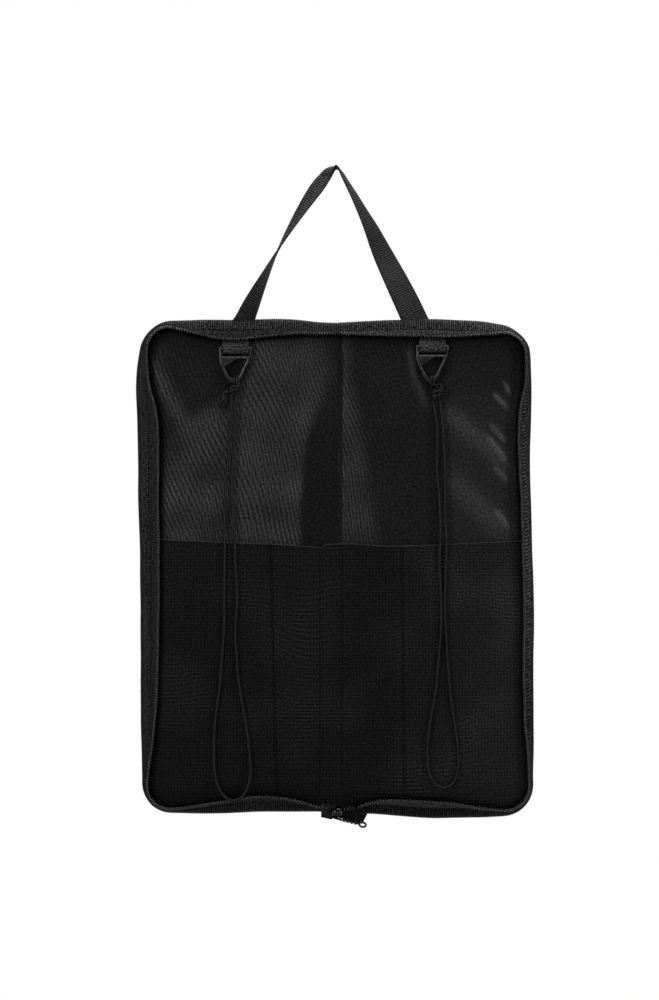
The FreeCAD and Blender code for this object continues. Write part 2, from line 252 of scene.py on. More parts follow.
def distances(points):
    """How far along its line each point is from the first."""
    return np.concatenate([[0], np.cumsum(np.linalg.norm(np.diff(points, axis=0), axis=1))])


def catmull(points, steps):
    """A smooth curve through rows of numbers, with steps samples from each to the next."""
    p = np.asarray(points, float)
    p = np.concatenate([[2 * p[0] - p[1]], p, [2 * p[-1] - p[-2]]])
    out = []
    for a, b, c, d in zip(p, p[1:], p[2:], p[3:]):
        for t in np.arange(steps) / steps:
            out.append(0.5 * (2 * b + (c - a) * t + (2 * a - 5 * b + 4 * c - d) * t**2
                              + (3 * b - a - 3 * c + d) * t**3))
    out.append(p[-2])
    return np.array(out)


# ---------------------------------------------------------------- materials

class Field:
    """A number or a vector that varies over a surface; its arithmetic adds math nodes."""

    def __init__(self, cloth, socket):
        self.cloth = cloth
        self.socket = socket

    def __add__(self, other):
        return self.cloth.math("ADD", self, other)

    def __sub__(self, other):
        return self.cloth.math("SUBTRACT", self, other)

    def __rsub__(self, other):
        return self.cloth.math("SUBTRACT", other, self)

    def __mul__(self, other):
        return self.cloth.math("MULTIPLY", self, other)

    def __pow__(self, other):
        return self.cloth.math("POWER", self, other)

    def wave(self, pitch):
        """A sine of this distance, 0 to 1, one cycle every pitch."""
        # MULTIPLY_ADD's third number is left at 0.5.
        return self.cloth.math("MULTIPLY_ADD", self.cloth.math("SINE", self * (2 * math.pi / pitch)), 0.5)

    def span(self, low, high, to_low, to_high):
        """The number with low to high stretched over to_low to to_high, and held at both ends."""
        made = self.cloth.node("ShaderNodeMapRange", Value=self)
        for name, value in zip(("From Min", "From Max", "To Min", "To Max"), (low, high, to_low, to_high)):
            made.inputs[name].default_value = value
        return Field(self.cloth, made.outputs[0])

    def noise(self, scale, detail=3.0):
        """Noise over this vector, around 0.5."""
        made = self.cloth.node("ShaderNodeTexNoise", Vector=self, Scale=scale, Detail=detail)
        return Field(self.cloth, made.outputs["Fac"])


class Cloth:
    """A node material under construction: its shader, and the fields that its nodes make."""

    def __init__(self, name, rough, specular, metallic=0.0):
        self.material = bpy.data.materials.new(name)
        self.material.use_nodes = True
        self.tree = self.material.node_tree
        self.shader = self.tree.nodes["Principled BSDF"].inputs
        self.rough = rough
        self.specular = specular
        self.shader["Roughness"].default_value = rough
        self.shader["Metallic"].default_value = metallic
        self.shader["Specular Tint"].default_value = (1 - metallic, 1 - metallic, 1 - metallic, 1)

    def put(self, socket, value):
        if isinstance(value, Field):
            self.tree.links.new(value.socket, socket)
        else:
            socket.default_value = value

    def node(self, kind, **inputs):
        made = self.tree.nodes.new(kind)
        for name, value in inputs.items():
            self.put(made.inputs[name], value)
        return made

    def math(self, operation, a, b=0.0):
        made = self.tree.nodes.new("ShaderNodeMath")
        made.operation = operation
        self.put(made.inputs[0], a)
        self.put(made.inputs[1], b)
        return Field(self, made.outputs[0])

    def split(self, vector):
        """The x, y and z of a vector."""
        return [Field(self, socket) for socket in self.node("ShaderNodeSeparateXYZ", Vector=vector).outputs]

    def uv(self):
        """The place on the cloth, as a vector and as the distances along it and across it, in metres."""
        made = self.node("ShaderNodeUVMap")
        made.uv_map = "cloth"
        vector = Field(self, made.outputs[0])
        return (vector, *self.split(vector)[:2])

    def place(self):
        """The place in space, as a vector."""
        return Field(self, self.node("ShaderNodeTexCoord").outputs["Object"])

    def painted(self, name):
        """A number painted on the mesh."""
        made = self.node("ShaderNodeAttribute")
        made.attribute_name = name
        return Field(self, made.outputs["Fac"])

    def finish(self, colour, shade, height, depth, wear=None):
        """Colour times shade, a bump of that depth from height, and a roughness that wear makes uneven."""
        mix = self.node("ShaderNodeMix")
        mix.data_type = "RGBA"
        mix.blend_type = "MULTIPLY"
        factor, first, second = (mix.inputs[k] for k in (0, 6, 7))
        self.put(factor, 1.0)
        self.put(first, (*colour, 1.0))
        self.put(second, shade)
        self.put(self.shader["Base Color"], Field(self, mix.outputs[2]))
        self.put(self.shader["Specular IOR Level"], shade * self.specular)
        bump = self.node("ShaderNodeBump", Height=height, Distance=depth, Strength=1.0)
        self.put(self.shader["Normal"], Field(self, bump.outputs[0]))
        if wear is not None:
            self.put(self.shader["Roughness"], wear.span(0.3, 0.7, self.rough - 0.1, self.rough + 0.1))
        return self.material


# The pitch of each weave's ribs, yarns or squares.
BAND_RIB = 2.1 * MM
STRAP_RIB = 2.2 * MM
TAB_RIB = 1.4 * MM
YARN = 1.5 * MM
OXFORD_SQUARE = 3.15 * MM
THREAD_BRAID = 0.9 * MM
CORD_BRAID = 2.2 * MM


def lining_cloth():
    """Thin plain-weave nylon with painted sheen: where the painted sheen lies, the weave shows as fine
    slanting streaks of painted highlight.
    """
    c = Cloth("lining_nylon", rough=0.5, specular=0.022)
    vector, u, v = c.uv()
    drift = vector.noise(5.0, detail=1.0) * 0.06
    wide = (u + v * 0.34 + drift).wave(4.6 * MM) ** 2
    thin = (u + v * 0.16 + drift * 0.3).wave(3.1 * MM) ** 2
    share = vector.noise(16, detail=1.0).span(0.4, 0.6, 0.15, 1.0)
    streaked = u.span(0.04, 0.075, 1.0, 0.15)
    streaks = (wide * share + thin * (1.1 - share)) * streaked + (1.0 - streaked) * 0.42
    # Painted sheen lightens the colour where the lamps' highlights fall; painted shade darkens it beside the
    # coil.
    painted_glow = c.painted("painted_sheen") * (streaks * 1.75 + 0.42)
    grain = vector.noise(430, detail=2.0)
    shade = (painted_glow * 1.38 + 0.66) * grain.span(0.3, 0.7, 0.5, 1.5) * c.painted("painted_light")
    return c.finish((0.0020, 0.0020, 0.00205), shade, grain, 0.08 * MM, vector.noise(12))


def pocket_cloth():
    """Oxford nylon with a fine square grid, a little out of true, a soft swirl of painted sheen over it, and
    painted light that makes the right half's outer part paler.
    """
    c = Cloth("pocket_oxford", rough=0.6, specular=0.014)
    vector, u, v = c.uv()
    pull = vector.noise(9, detail=1.0) * (3.5 * MM)
    height = 1.0 - (u + pull).wave(OXFORD_SQUARE) * (v + pull).wave(OXFORD_SQUARE)
    fuzz = vector.noise(520, detail=2.0).span(0.3, 0.7, 0.5, 1.5)
    # A soft swirl of painted sheen.
    swirl = (v + vector.noise(7.0, detail=1.0) * 0.07).wave(4.4 * MM)
    swirl = swirl * vector.noise(13, detail=1.0).span(0.45, 0.65, 0.0, 0.9)
    # Painted light: the right half's outer part is painted paler; painted shade from the mesh darkens it.
    painted_light_right = u.span(0.05, 0.16, 1.0, 1.7)
    shade = height.span(0, 1, 0.5, 1.25) * fuzz * (swirl * 0.65 + 0.87) * (painted_light_right * c.painted("painted_light"))
    return c.finish((0.00125, 0.00125, 0.0013), shade, height, 0.25 * MM, vector.noise(14))


def ribbed_cloth(name, pitch, tone, depth, contrast, painted=False):
    """Grosgrain or webbing: ribs across the strip with the yarns that cross them."""
    c = Cloth(name, rough=0.6, specular=0.025)
    vector, u, v = c.uv()
    height = u.wave(pitch) ** 2 * 0.85 + v.wave(YARN) * 0.2
    fuzz = vector.noise(480, detail=2.0)
    shade = height.span(0, 1, 1.0 - 0.5 * contrast, 1.0 + contrast)
    shade = shade * fuzz.span(0.32, 0.68, 1.0 - 0.4 * contrast, 1.0 + 0.45 * contrast)
    shade = shade * vector.noise(25).span(0.3, 0.7, 0.8, 1.2)
    # Where painted, times the painted light and shade stored on the mesh.
    if painted:
        shade = shade * c.painted("painted_light")
    return c.finish((tone, tone, tone * 1.04), shade, height, depth, fuzz)


def tape_cloth():
    """Zip tape: a dense narrow weave with faint lengthwise wales."""
    c = Cloth("zip_tape", rough=0.65, specular=0.022)
    vector, u, v = c.uv()
    height = v.wave(1.6 * MM) * 0.6 + u.wave(0.8 * MM) * 0.4
    # Times the painted light and shade stored on the mesh.
    shade = height.span(0, 1, 0.7, 1.2) * vector.noise(460).span(0.3, 0.7, 0.1, 2.0) * c.painted("painted_light")
    return c.finish((0.0023, 0.0023, 0.00235), shade, height, 0.12 * MM, vector.noise(60))


def shell_cloth():
    """Heavy outer nylon: a matt basket weave with slubs along it."""
    c = Cloth("outer_nylon", rough=0.6, specular=0.03)
    vector, u, v = c.uv()
    stretched = Field(c, c.node("ShaderNodeMapping", Vector=vector, Scale=(600, 60, 1)).outputs[0])
    height = u.wave(YARN) * v.wave(YARN) + stretched.noise(1.0) * 0.3
    shade = height.span(0, 1.3, 0.6, 1.35) * vector.noise(14).span(0.3, 0.7, 0.8, 1.25)
    return c.finish((0.0026, 0.0026, 0.0027), shade, height, 0.3 * MM, vector.noise(40))


def thread_stuff(name, pitch, tone, silky=0.0):
    """Thread, and the braided sheath of the elastic cords: a crossing pattern and fuzz."""
    c = Cloth(name, rough=0.55, specular=0.03, metallic=silky)
    vector = c.place()
    x, _, z = c.split(vector)
    braid = c.math("MAXIMUM", (z + x).wave(pitch), (z - x).wave(pitch))
    fuzz = vector.noise(1400, detail=2.0)
    shade = braid.span(0, 1, 0.2, 1.6) * fuzz.span(0.3, 0.7, 0.5, 1.5)
    return c.finish((tone, tone, tone), shade, braid, 0.25 * MM, fuzz)


def hard_stuff(name, tone, rough, specular, metallic=0.0):
    """Moulded plastic, nylon coil or black-plated metal: a fine uneven surface."""
    c = Cloth(name, rough, specular, metallic)
    vector = c.place()
    scuff = vector.noise(260, detail=4.0)
    shade = scuff.span(0.3, 0.7, 0.75, 1.25)
    return c.finish((tone, tone, tone * 1.03), shade, vector.noise(1600, detail=3.0), 0.03 * MM, scuff)


LINING = lining_cloth()
POCKET = pocket_cloth()
BAND = ribbed_cloth("edge_binding", BAND_RIB, tone=0.0028, depth=0.25 * MM, contrast=2.0, painted=True)
# A darker copy of the band's cloth: painted shade for the gusset's end walls, set back behind the band.
SHADED_GUSSET = ribbed_cloth("gusset", BAND_RIB, tone=0.001, depth=0.25 * MM, contrast=1.2)
WEBBING = ribbed_cloth("webbing", STRAP_RIB, tone=0.0033, depth=0.3 * MM, contrast=1.1)
TAB = ribbed_cloth("tab_webbing", TAB_RIB, tone=0.0044, depth=0.15 * MM, contrast=2.0)
TAPE = tape_cloth()
SHELL = shell_cloth()
THREAD = thread_stuff("thread", THREAD_BRAID, tone=0.0022)
HEM = thread_stuff("hem_edge", THREAD_BRAID, tone=0.0048)
ELASTIC = thread_stuff("elastic_cord", CORD_BRAID, tone=0.0048, silky=1.0)
COIL = hard_stuff("zip_coil", tone=0.0012, rough=0.18, specular=0.3)
PLASTIC = hard_stuff("ring_plastic", tone=0.0014, rough=0.3, specular=0.12)
METAL = hard_stuff("zip_metal", tone=0.007, rough=0.14, specular=0.3, metallic=1.0)


def dress(obj, material):
    """Give a new piece its material."""
    obj.data.materials.append(material)


def across_fold(obj):
    """Bake a piece's place into its mesh."""
    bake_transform(obj)


# A stitch's thread from hole to hole: how far along it is, how high it rises and how thick it is,
# as shares of the stitch's length and of the thread's radius.
STITCH = [(0.0, -0.6, 0.5), (0.15, 0.3, 0.9), (0.5, 0.75, 1.0), (0.85, 0.3, 0.9), (1.0, -0.6, 0.5)]


def stitches(name, place, count, length, pitch, radius):
    """A row of thread stitches; place(distance) gives a point on the cloth."""
    parts = []
    for k in range(count):
        line = []
        for along, rise, _ in STITCH:
            x, y, z = place(k * pitch + length * along)
            line.append((x, y - rise * radius, z))
        parts.append(tube_mesh(line, [radius * thick for _, _, thick in STITCH], 6))
    row = new_object(name, *gathered(parts))
    dress(row, THREAD)
    return row


# ---------------------------------------------------------------- the rim of a half

RIM_STEP = 0.5 * MM
STRAIGHT = HALF_WIDTH - CORNER
ARC = CORNER * math.pi / 2
SIDE_LENGTH = TOP - BOTTOM - 2 * CORNER
RIM_LENGTH = 2 * STRAIGHT + 2 * ARC + SIDE_LENGTH

# How far the zip's coil lies inside the outer seam, at distances along the rim from the top of the
# spine, over the outer corners, to the bottom of the spine. Millimetres.
COIL_PLACE = {
    "left": [
        (0, 9), (23, 10.5), (45, 12.5), (68, 15.5), (91, 17.5), (113, 17), (130, 13), (146, 9), (162, 4.5),
        (181, 3), (205, 5), (222, 8.5), (240, 12), (262, 17), (281, 18.5), (480, 15.5), (541, 14), (579, 9.5),
        (602, 5), (638, 2.5), (665, 3), (687, 6.6), (709, 10.5), (739, 13.7), (768, 13), (787, 8.5), (803, 3),
        (820, 3),
    ],
    "right": [
        (0, 9), (38, 13), (61, 14), (99, 15.5), (126, 13.5), (151, 9), (167, 4), (184, 3), (205, 3),
        (238, 4.2), (249, 7.5), (262, 10), (285, 10.2), (319, 8.4), (364, 7.8), (480, 8.2), (560, 7.6),
        (590, 4), (618, 3), (640, 3), (667, 5.5), (711, 13), (740, 15.5), (779, 13), (794, 8.5), (806, 3),
        (820, 3),
    ],
}
# How far the outer seam stands out from the CAD outline, at the same kind of distances.
SEAM_PLACE = {
    "left": [
        (0, -4.6), (18, -4.3), (40, -1.5), (60, -0.8), (100, -2.2), (130, -1.4), (150, -2.5), (181, -3.8),
        (200, -1.5), (222, 2), (243, 2.8), (262, 2), (290, 1), (340, 0.8), (395, -1), (450, -1.5),
        (560, -1.8), (590, -2.8), (615, -3.2), (638, -1.8), (680, -0.2), (718, -0.4), (748, -2),
        (800, -2), (820, -1),
    ],
    "right": [
        (0, -4.6), (22, -3.5), (45, -2.3), (92, -0.8), (115, -2.3), (138, -3), (158, -6.5), (172, -9.2),
        (183, -9.6), (195, -8), (208, -5.6), (240, -4.2), (300, -6), (330, -5.6), (395, -4), (420, -2.8),
        (470, -2), (520, -2.8), (580, -2.2), (615, -3.2), (638, 0), (655, 2), (680, 3.5), (730, 4.5),
        (755, 2.6), (785, 0), (820, -0.5),
    ],
}


class Rim:
    """The outline of one half: where points at a distance along it, an inset and a depth lie."""

    def __init__(self, side):
        self.t = np.arange(0, RIM_LENGTH + RIM_STEP / 2, RIM_STEP)
        upper_corner = STRAIGHT
        lower_corner = upper_corner + ARC + SIDE_LENGTH
        bottom = lower_corner + ARC
        t = self.t
        corners = (upper_corner, lower_corner)
        turn = sum(np.clip((t - corner) / CORNER, 0, math.pi / 2) for corner in corners)
        self.normal = np.stack([-np.sin(turn), -np.cos(turn)], 1)
        ahead = np.stack([np.cos(turn), -np.sin(turn)], 1) * RIM_STEP
        ahead = (ahead[1:] + ahead[:-1]) / 2
        line = np.concatenate([[[0, 0]], np.cumsum(ahead, 0)])
        line[:, 1] *= (TOP - BOTTOM) / -line[-1, 1]
        line[:, 0] -= np.linspace(0, line[-1, 0], len(line)) * smooth(bottom, RIM_LENGTH, t)
        self.line = line + np.array([0, TOP])
        self.coil = self.eased(COIL_PLACE[side], 7) + 0.3 * MM * ripples(3 + len(side), 45 * MM)(t, 0)
        self.seam = -self.eased(SEAM_PLACE[side], 6) + 0.25 * MM * ripples(9 + len(side), 60 * MM)(t, 0)
        self.band = np.minimum(9 * MM, 0.82 * self.coil)
        self.band = self.band + 0.2 * MM * ripples(5 + len(side), 30 * MM)(t, 0)

    def eased(self, places, spread):
        """Values between the given places, smoothed over spread millimetres."""
        where, value = zip(*places)
        raw = np.interp(self.t / MM, where, value) * MM
        reach = int(3 * spread * MM / RIM_STEP)
        kernel = np.exp(-0.5 * (np.arange(-reach, reach + 1) * RIM_STEP / (spread * MM)) ** 2)
        padded = np.pad(raw, reach, mode="edge")
        return np.convolve(padded, kernel / kernel.sum(), "valid")

    def at(self, values, t):
        return np.interp(t, self.t, values)

    def points(self, t, inset, y):
        """Points in space; t, inset and y are arrays of one shape."""
        inset = inset + self.at(self.seam, t)
        out = np.empty(t.shape + (3,))
        for k, axis in ((0, 0), (1, 2)):
            out[..., axis] = self.at(self.line[:, k], t) + self.at(self.normal[:, k], t) * inset
        out[..., 1] = y
        return out


NEARBY = slice(None, None, 8)           # every eighth point of the rim is enough to measure from


def rim_distances(x, z, rim):
    """How far each place is from each point of a rim."""
    line = rim.line[NEARBY]
    return np.hypot(x[..., None] - line[:, 0], z[..., None] - line[:, 1])


def seam_shift(x, z, side):
    """Move cloth near the outer seam along with the seam, where that strays from the CAD outline."""
    rim = RIMS[side]
    normal, seam = rim.normal[NEARBY], rim.seam[NEARBY]
    away = rim_distances(x, z, rim)
    near = np.exp(-((away - away.min(-1, keepdims=True)) / (6 * MM)))
    near /= near.sum(-1, keepdims=True)
    pull = 1 - smooth(2 * MM, 60 * MM, away.min(-1))
    return x + pull * (near @ (normal[:, 0] * seam)), z + pull * (near @ (normal[:, 1] * seam))


def cloth_grid(x, y, z, side):
    """The points of a half's cloth, moved along with the seam near the rim."""
    moved_x, moved_z = seam_shift(x, z, side)
    return np.stack([moved_x, y, moved_z], 2)


def under_rim(x, z, side):
    """1 right beside the zip's coil, where the rim keeps the light off, fading out within 6 mm."""
    rim = RIMS[side]
    away = rim_distances(x, z, rim)
    inside = away.min(-1) - rim.coil[NEARBY][away.argmin(-1)]
    return 1 - smooth(2 * MM, 6.5 * MM, inside)


BAND_DEPTH = -8.0 * MM                  # y of the band's front edge
CHAIN_DEPTH = -10.6 * MM                # y of the tape's inner edge and of the coil on it
RIMS = {side: Rim(side) for side in SIDES}
RIB_HEIGHT = 0.42 * MM
# Painted light: the right tape is painted paler than the left.
TAPE_PAINTED_LIGHT = {"left": 1.0, "right": 1.6}      # how pale each tape looks beside the other


def edge_band(side):
    """The ribbed band: from behind the seam, round the edge, and over to the seam with the tape."""
    rim = RIMS[side]
    t = np.arange(0, RIM_LENGTH, BAND_RIB / 4)
    b = rim.at(rim.band, t)
    # The section is a row of insets and depths, from behind the seam round to the band's edge in front.
    section = [(1.6 * MM, BACK - 0.5 * MM), (0.6 * MM, BACK - 0.2 * MM), (0, BACK - 1.2 * MM)]
    section.append((-0.1 * MM, 1.5 * MM))
    for bend in np.linspace(0, 1, 9) * math.pi / 2:
        section.append((b * (1 - math.cos(bend)), BAND_DEPTH * math.sin(bend)))
    inset = np.stack([np.broadcast_to(a, t.shape) for a, _ in section], 1)
    y = np.stack([np.broadcast_to(d, t.shape) for _, d in section], 1)
    place = np.broadcast_to(t[:, None], inset.shape)
    sag = 0.12 * MM * ripples(21 + len(side), 26 * MM)(place, inset * 2)
    lean = 0.8 * smooth(150 * MM, 230 * MM, place) * (1 - smooth(600 * MM, 680 * MM, place))
    # The cord-like ribs lie closer where the band is pulled tight, and open out down the right side.
    opened = 0.38 * smooth(215 * MM, 250 * MM, t) * (1 - smooth(570 * MM, 610 * MM, t)) * (side == "right")
    wound = np.cumsum(1 - opened) * BAND_RIB / 4
    along = wound[:, None] + lean * y
    rib = RIB_HEIGHT * (1 + 1.6 * opened[:, None]) * np.cos(2 * math.pi * along / BAND_RIB)
    grid = rim.points(place, inset - rib * 0.7, y - rib * 0.7 + sag)
    down = 800                          # a row down the side, where the section is measured
    run = distances(np.stack([inset[down], y[down]], 1))
    uv = np.stack([along, np.broadcast_to(run, place.shape)], 2)
    # Painted shade along the bottom run, which faces down; on the right, painted light at the upper corner
    # and down the side.
    painted_light = 1 - 0.5 * smooth(610 * MM, 680 * MM, place)
    if side == "right":
        painted_light = painted_light + 0.4 * hump(place, 165 * MM, 45 * MM) + 1.1 * hump(place, 400 * MM, 160 * MM)
    obj = half_sheet(side, "ribbed_band", grid, uv, 0.9 * MM, {"painted_light": painted_light})
    dress(obj, BAND)
    across_fold(obj)
    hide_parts(f"{side}_edge_band")


def zip_tape(side):
    """The woven tape between the band and the coil, a little behind the band's edge."""
    rim = RIMS[side]
    t = np.arange(0, RIM_LENGTH, 2 * MM)
    outer, inner = rim.at(rim.band, t) - 0.8 * MM, rim.at(rim.coil, t) + 0.4 * MM
    k = np.linspace(0, 1, 9)[None, :]
    inset = outer[:, None] * (1 - k) + inner[:, None] * k
    place = np.broadcast_to(t[:, None], inset.shape)
    y = (BAND_DEPTH + 1.2 * MM) * (1 - k) + CHAIN_DEPTH * k - 0.9 * MM * np.sin(math.pi * k)
    y = y + 0.3 * MM * ripples(31 + len(side), 22 * MM)(place, inset) * np.sin(math.pi * k)
    uv = np.stack([place, inset], 2)
    painted_light = np.full(place.shape, TAPE_PAINTED_LIGHT[side])
    obj = half_sheet(side, "woven_tape", rim.points(place, inset, y), uv, 0.5 * MM, {"painted_light": painted_light})
    dress(obj, TAPE)
    across_fold(obj)
    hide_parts(f"{side}_zip_tape")


def zip_coil(side):
    """The nylon coil: a flattened helix of one thick thread along the tape's edge."""
    rim = RIMS[side]
    pitch, steps = 2.6 * MM, 10
    wide, deep, thread = 1.1 * MM, 0.85 * MM, 0.38 * MM
    t = np.arange(3 * MM, RIM_LENGTH - 4 * MM, pitch / steps)
    angle = 2 * math.pi * t / pitch
    inset = rim.at(rim.coil, t) + 0.6 * MM + wide * np.cos(angle)
    y = CHAIN_DEPTH - 0.1 * MM + deep * np.sin(angle)
    line = rim.points(t, inset, y)
    line[:, 0] *= SIDES[side]
    obj = new_object(f"{side}_coil_teeth", *tube_mesh(line, thread, 6))
    dress(obj, COIL)
    across_fold(obj)
    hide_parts(f"{side}_zip_coil")


def band_stitches(side):
    """The row of stitches along the band, just short of its edge."""
    rim = RIMS[side]
    first, pitch = 16 * MM, 3.3 * MM

    def on_band(distance):
        t = np.array([first + distance])
        point = rim.points(t, rim.at(rim.band, t) - 1.3 * MM, np.array([BAND_DEPTH - 0.05 * MM]))[0]
        return (SIDES[side] * point[0], point[1], point[2])

    count = int((RIM_LENGTH - 2 * first) / pitch) - 1
    row = stitches(f"{side}_band_stitches", on_band, count, 2.3 * MM, pitch, 0.28 * MM)
    across_fold(row)


# ---------------------------------------------------------------- cloth of the halves

def widest(z, inset):
    """How far from the middle a half reaches at height z, with its corners round."""
    radius = CORNER - inset
    up = np.clip(z - (TOP - CORNER), 0, radius)
    down = np.clip((BOTTOM + CORNER) - z, 0, radius)
    cut = radius - np.sqrt(np.maximum(radius**2 - np.maximum(up, down) ** 2, 0))
    return HALF_WIDTH - inset - cut


def drawn_in(x, z, inset):
    """Distances from the middle, with the outer ones drawn in to end inset from the round outline."""
    hold = HALF_WIDTH - 2 * CORNER
    room = widest(z, inset)
    return np.where(x > hold, hold + (x - hold) * (room - hold) / (HALF_WIDTH - inset - hold), x)


def half_grid(columns, rows, inset):
    """x and z over a half: columns are distances from the middle."""
    x, z = np.meshgrid(columns, rows, indexing="ij")
    return drawn_in(x, z, inset), z


# Each crease's start and end, x and z, its width, and its height; a height below 0 stands out to the front.
# Millimetres.
LINING_CREASES = {
    "left": [((-178, -178), (-142, -252), 5, -1.3), ((-150, -330), (-60, -345), 16, -0.8),
             ((-84, -205), (-58, -240), 6, -0.9), ((-66, -178), (-48, -250), 8, -1.1)],
    "right": [((149, -215), (166, -230), 2.6, -1.2), ((146, -244), (164, -262), 2.6, -1.2),
              ((142, -255), (165, -281), 3.0, -1.1), ((150, -285), (166, -299), 2.6, -1.0),
              ((152, -326), (166, -344), 2.8, -1.0), ((161, -204), (168, -217), 2.2, -1.2),
              ((103, -234), (164, -285), 8.0, -1.4), ((107, -297), (164, -352), 9.0, -1.4),
              ((69, -170), (74, -200), 3.2, -1.8), ((73, -196), (86, -230), 3.6, -1.6)],
}
FOLD = 4.0 * MM                         # from the middle of the spine to the lining's crisp fold


def valley_reach(z):
    """How far left of the middle the cloth starts to sink towards the fold: more near the pocket."""
    return (15 + 16 * smooth(0.19, 0.285, -z) + 4 * smooth(0.25, 0.36, -z)) * MM


def lining_depth(x, z, side):
    """The lining's surface: crowned over the foam, and sinking to a crisp fold along the spine."""
    edge = np.minimum(np.minimum(HALF_WIDTH - x, TOP - z), z - BOTTOM)
    crown = -2.4 * MM * smooth(2 * MM, 34 * MM, edge)
    below = smooth(0.160, 0.185, -z)
    if side == "right":
        wide = (4 + 20 * smooth(0.165, 0.345, -z)) * MM
        rise = 0.25 * smooth(0, 1.1 * MM, x - FOLD) + 0.75 * smooth(-0.15, 1.0, (x - FOLD) / wide)
        floor = 1.3 * MM - 0.25 * MM * (FOLD - np.minimum(x, FOLD)) / FOLD
    else:
        reach = valley_reach(z)
        rise = np.clip((x + FOLD) / (reach + FOLD), 0, 1)
        rise = rise + 0.2 * hump(x, reach + 5 * MM, 9 * MM)
        floor = 1.05 * MM + 0 * x
    sunk = crown * rise + floor * (1 - np.clip(rise, 0, 1))
    y = crown * (1 - below) + sunk * below
    y = y + 0.3 * MM * ripples(41 + len(side), 70 * MM)(x, z) * smooth(6 * MM, 40 * MM, x)
    y = y + 0.1 * MM * ripples(42, 24 * MM)(x, z) * smooth(6 * MM, 40 * MM, x)
    for start, end, width, height in LINING_CREASES[side]:
        y = y + crease(SIDES[side] * x, z, start, end, width, height)
    return y - 0.4 * MM


def along_line(x, z, start, end, width):
    """1 on the line from start to end, fading over width and at its ends."""
    return crease(x, z, start, end, width, 1 / MM)


def painted_lining_sheen(x, z, side):
    """Painted sheen on the lining, where the lamps' highlights fall: none in the valley left of the fold, a
    wedge right of it, and painted shade near the rim.
    """
    patchy = ripples(81 + len(side), 55 * MM)(x, z)
    # Painted shade: no painted sheen beside the coil, where the rim keeps the light off.
    edge = 1 - under_rim(x, z, side)
    if side == "left":
        top = smooth(-0.27, -0.2, z)
        past = x - valley_reach(z)
        painted_sheen = smooth(-3 * MM - 10 * MM * top, 5 * MM + 6 * MM * top, past) * (0.82 + 0.42 * patchy)
        # Painted shade: a dark patch near the left rim.
        painted_sheen = painted_sheen * (1 - 0.55 * hump(x, 160 * MM, 13 * MM) * hump(z, -262 * MM, 20 * MM))
        # Painted shade over the upper outer part of the left half, above a slanting line.
        above = smooth(-8 * MM, 12 * MM, z + 267 * MM - (170.5 * MM - x) * 0.79)
        painted_sheen = painted_sheen * (1 - 0.88 * above * smooth(76 * MM, 98 * MM, x))
        # A painted highlight along the crease at the far left, and a little painted light at the top of the
        # valley.
        ridge = along_line(-x, z, (-178, -178), (-142, -252), 7)
        valley_top = 0.22 * top * (1 - smooth(0, 8 * MM, past))
        return np.clip(painted_sheen * edge + 0.8 * ridge + valley_top, 0, 1.4)
    # On the right: painted light in a wedge right of the fold, painted highlights along the two long creases
    # and beside the ring, painted glints on the small wrinkles by the rim, and a little painted light further
    # out.
    wide = (3 + 25 * np.clip((-z - 0.18) / 0.17, 0, 1)) * MM
    wedge = smooth(0, 1 * MM, x - FOLD) * (1 - smooth(-2 * MM, 12 * MM, x - FOLD - wide))
    first = along_line(x, z, (96, -228), (172, -291), 9)
    second = along_line(x, z, (100, -290), (172, -359), 12)
    bulge = along_line(x, z, (69, -168), (74, -200), 3.5) + along_line(x, z, (73, -196), (87, -232), 4)
    painted_glints = 0
    for start, end, width, _ in LINING_CREASES["right"][:6]:
        painted_glints = painted_glints + along_line(x, z, start, end, width * 0.8)
    outer = 0.22 * smooth(96 * MM, 112 * MM, x) * smooth(-0.20, -0.24, z)
    return np.clip(0.6 * wedge * (0.8 + 0.5 * patchy) + 0.75 * first + 0.7 * second + 0.7 * bulge
                   + 1.9 * painted_glints + outer * edge + 0.12, 0, 1.8)


def lining(side):
    """The lining of one half, from the middle of the spine to the seam."""
    near = np.array([0, 0.8, 1.6, 2.4, 3.2, 3.7, 4.0, 4.3, 4.7, 5.2, 6, 7, 8.5, 10, 12, 14, 16, 18]) * MM
    edge = HALF_WIDTH - LINING_INSET
    columns = np.concatenate([near, np.arange(20 * MM, edge, 2 * MM), [edge]])
    rows = np.linspace(BOTTOM + LINING_INSET, TOP - LINING_INSET, 230)
    x, z = half_grid(columns, rows, LINING_INSET)
    made = cloth_grid(x, lining_depth(x, z, side), z, side)
    uv = np.stack([SIDES[side] * x, z], 2)
    # Painted sheen, and painted shade beside the coil where the rim keeps the light off.
    painted = {"painted_sheen": painted_lining_sheen(x, z, side), "painted_light": 1 - 0.72 * under_rim(x, z, side)}
    obj = half_sheet(side, "lining_cloth", made, uv, 0.4 * MM, painted)
    dress(obj, LINING)
    across_fold(obj)
    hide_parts(f"{side}_lining", "spine_lining")


# The pocket's top edge: its height at distances from the middle. Millimetres.
MOUTH_PLACE = {
    "left": [(0, -358.3), (10, -358.8), (12.5, -359.4), (14.5, -362.6), (18, -361.8), (40, -359.8),
             (64, -358.4), (109, -356.8), (170, -353.8), (190, -353)],
    "right": [(0, -358.3), (16, -358.4), (40, -360), (58, -360.4), (97, -359), (145, -356.8),
              (167, -355.8), (190, -355)],
}


def mouth_height(x, side):
    """The height of the pocket's top edge."""
    where, height = zip(*MOUTH_PLACE[side])
    return np.interp(np.asarray(x) / MM, where, height) * MM + 0.2 * MM * ripples(51, 50 * MM)(x, 0)


def divider_at(z, side):
    """Where the sewn divider is at height z."""
    high, low = DIVIDER[side]
    k = (MOUTH - z) / (MOUTH - BOTTOM)
    return high + (low - high) * k


PLEAT = 17.0 * MM                       # from the middle of the spine to the pleat in the left pocket


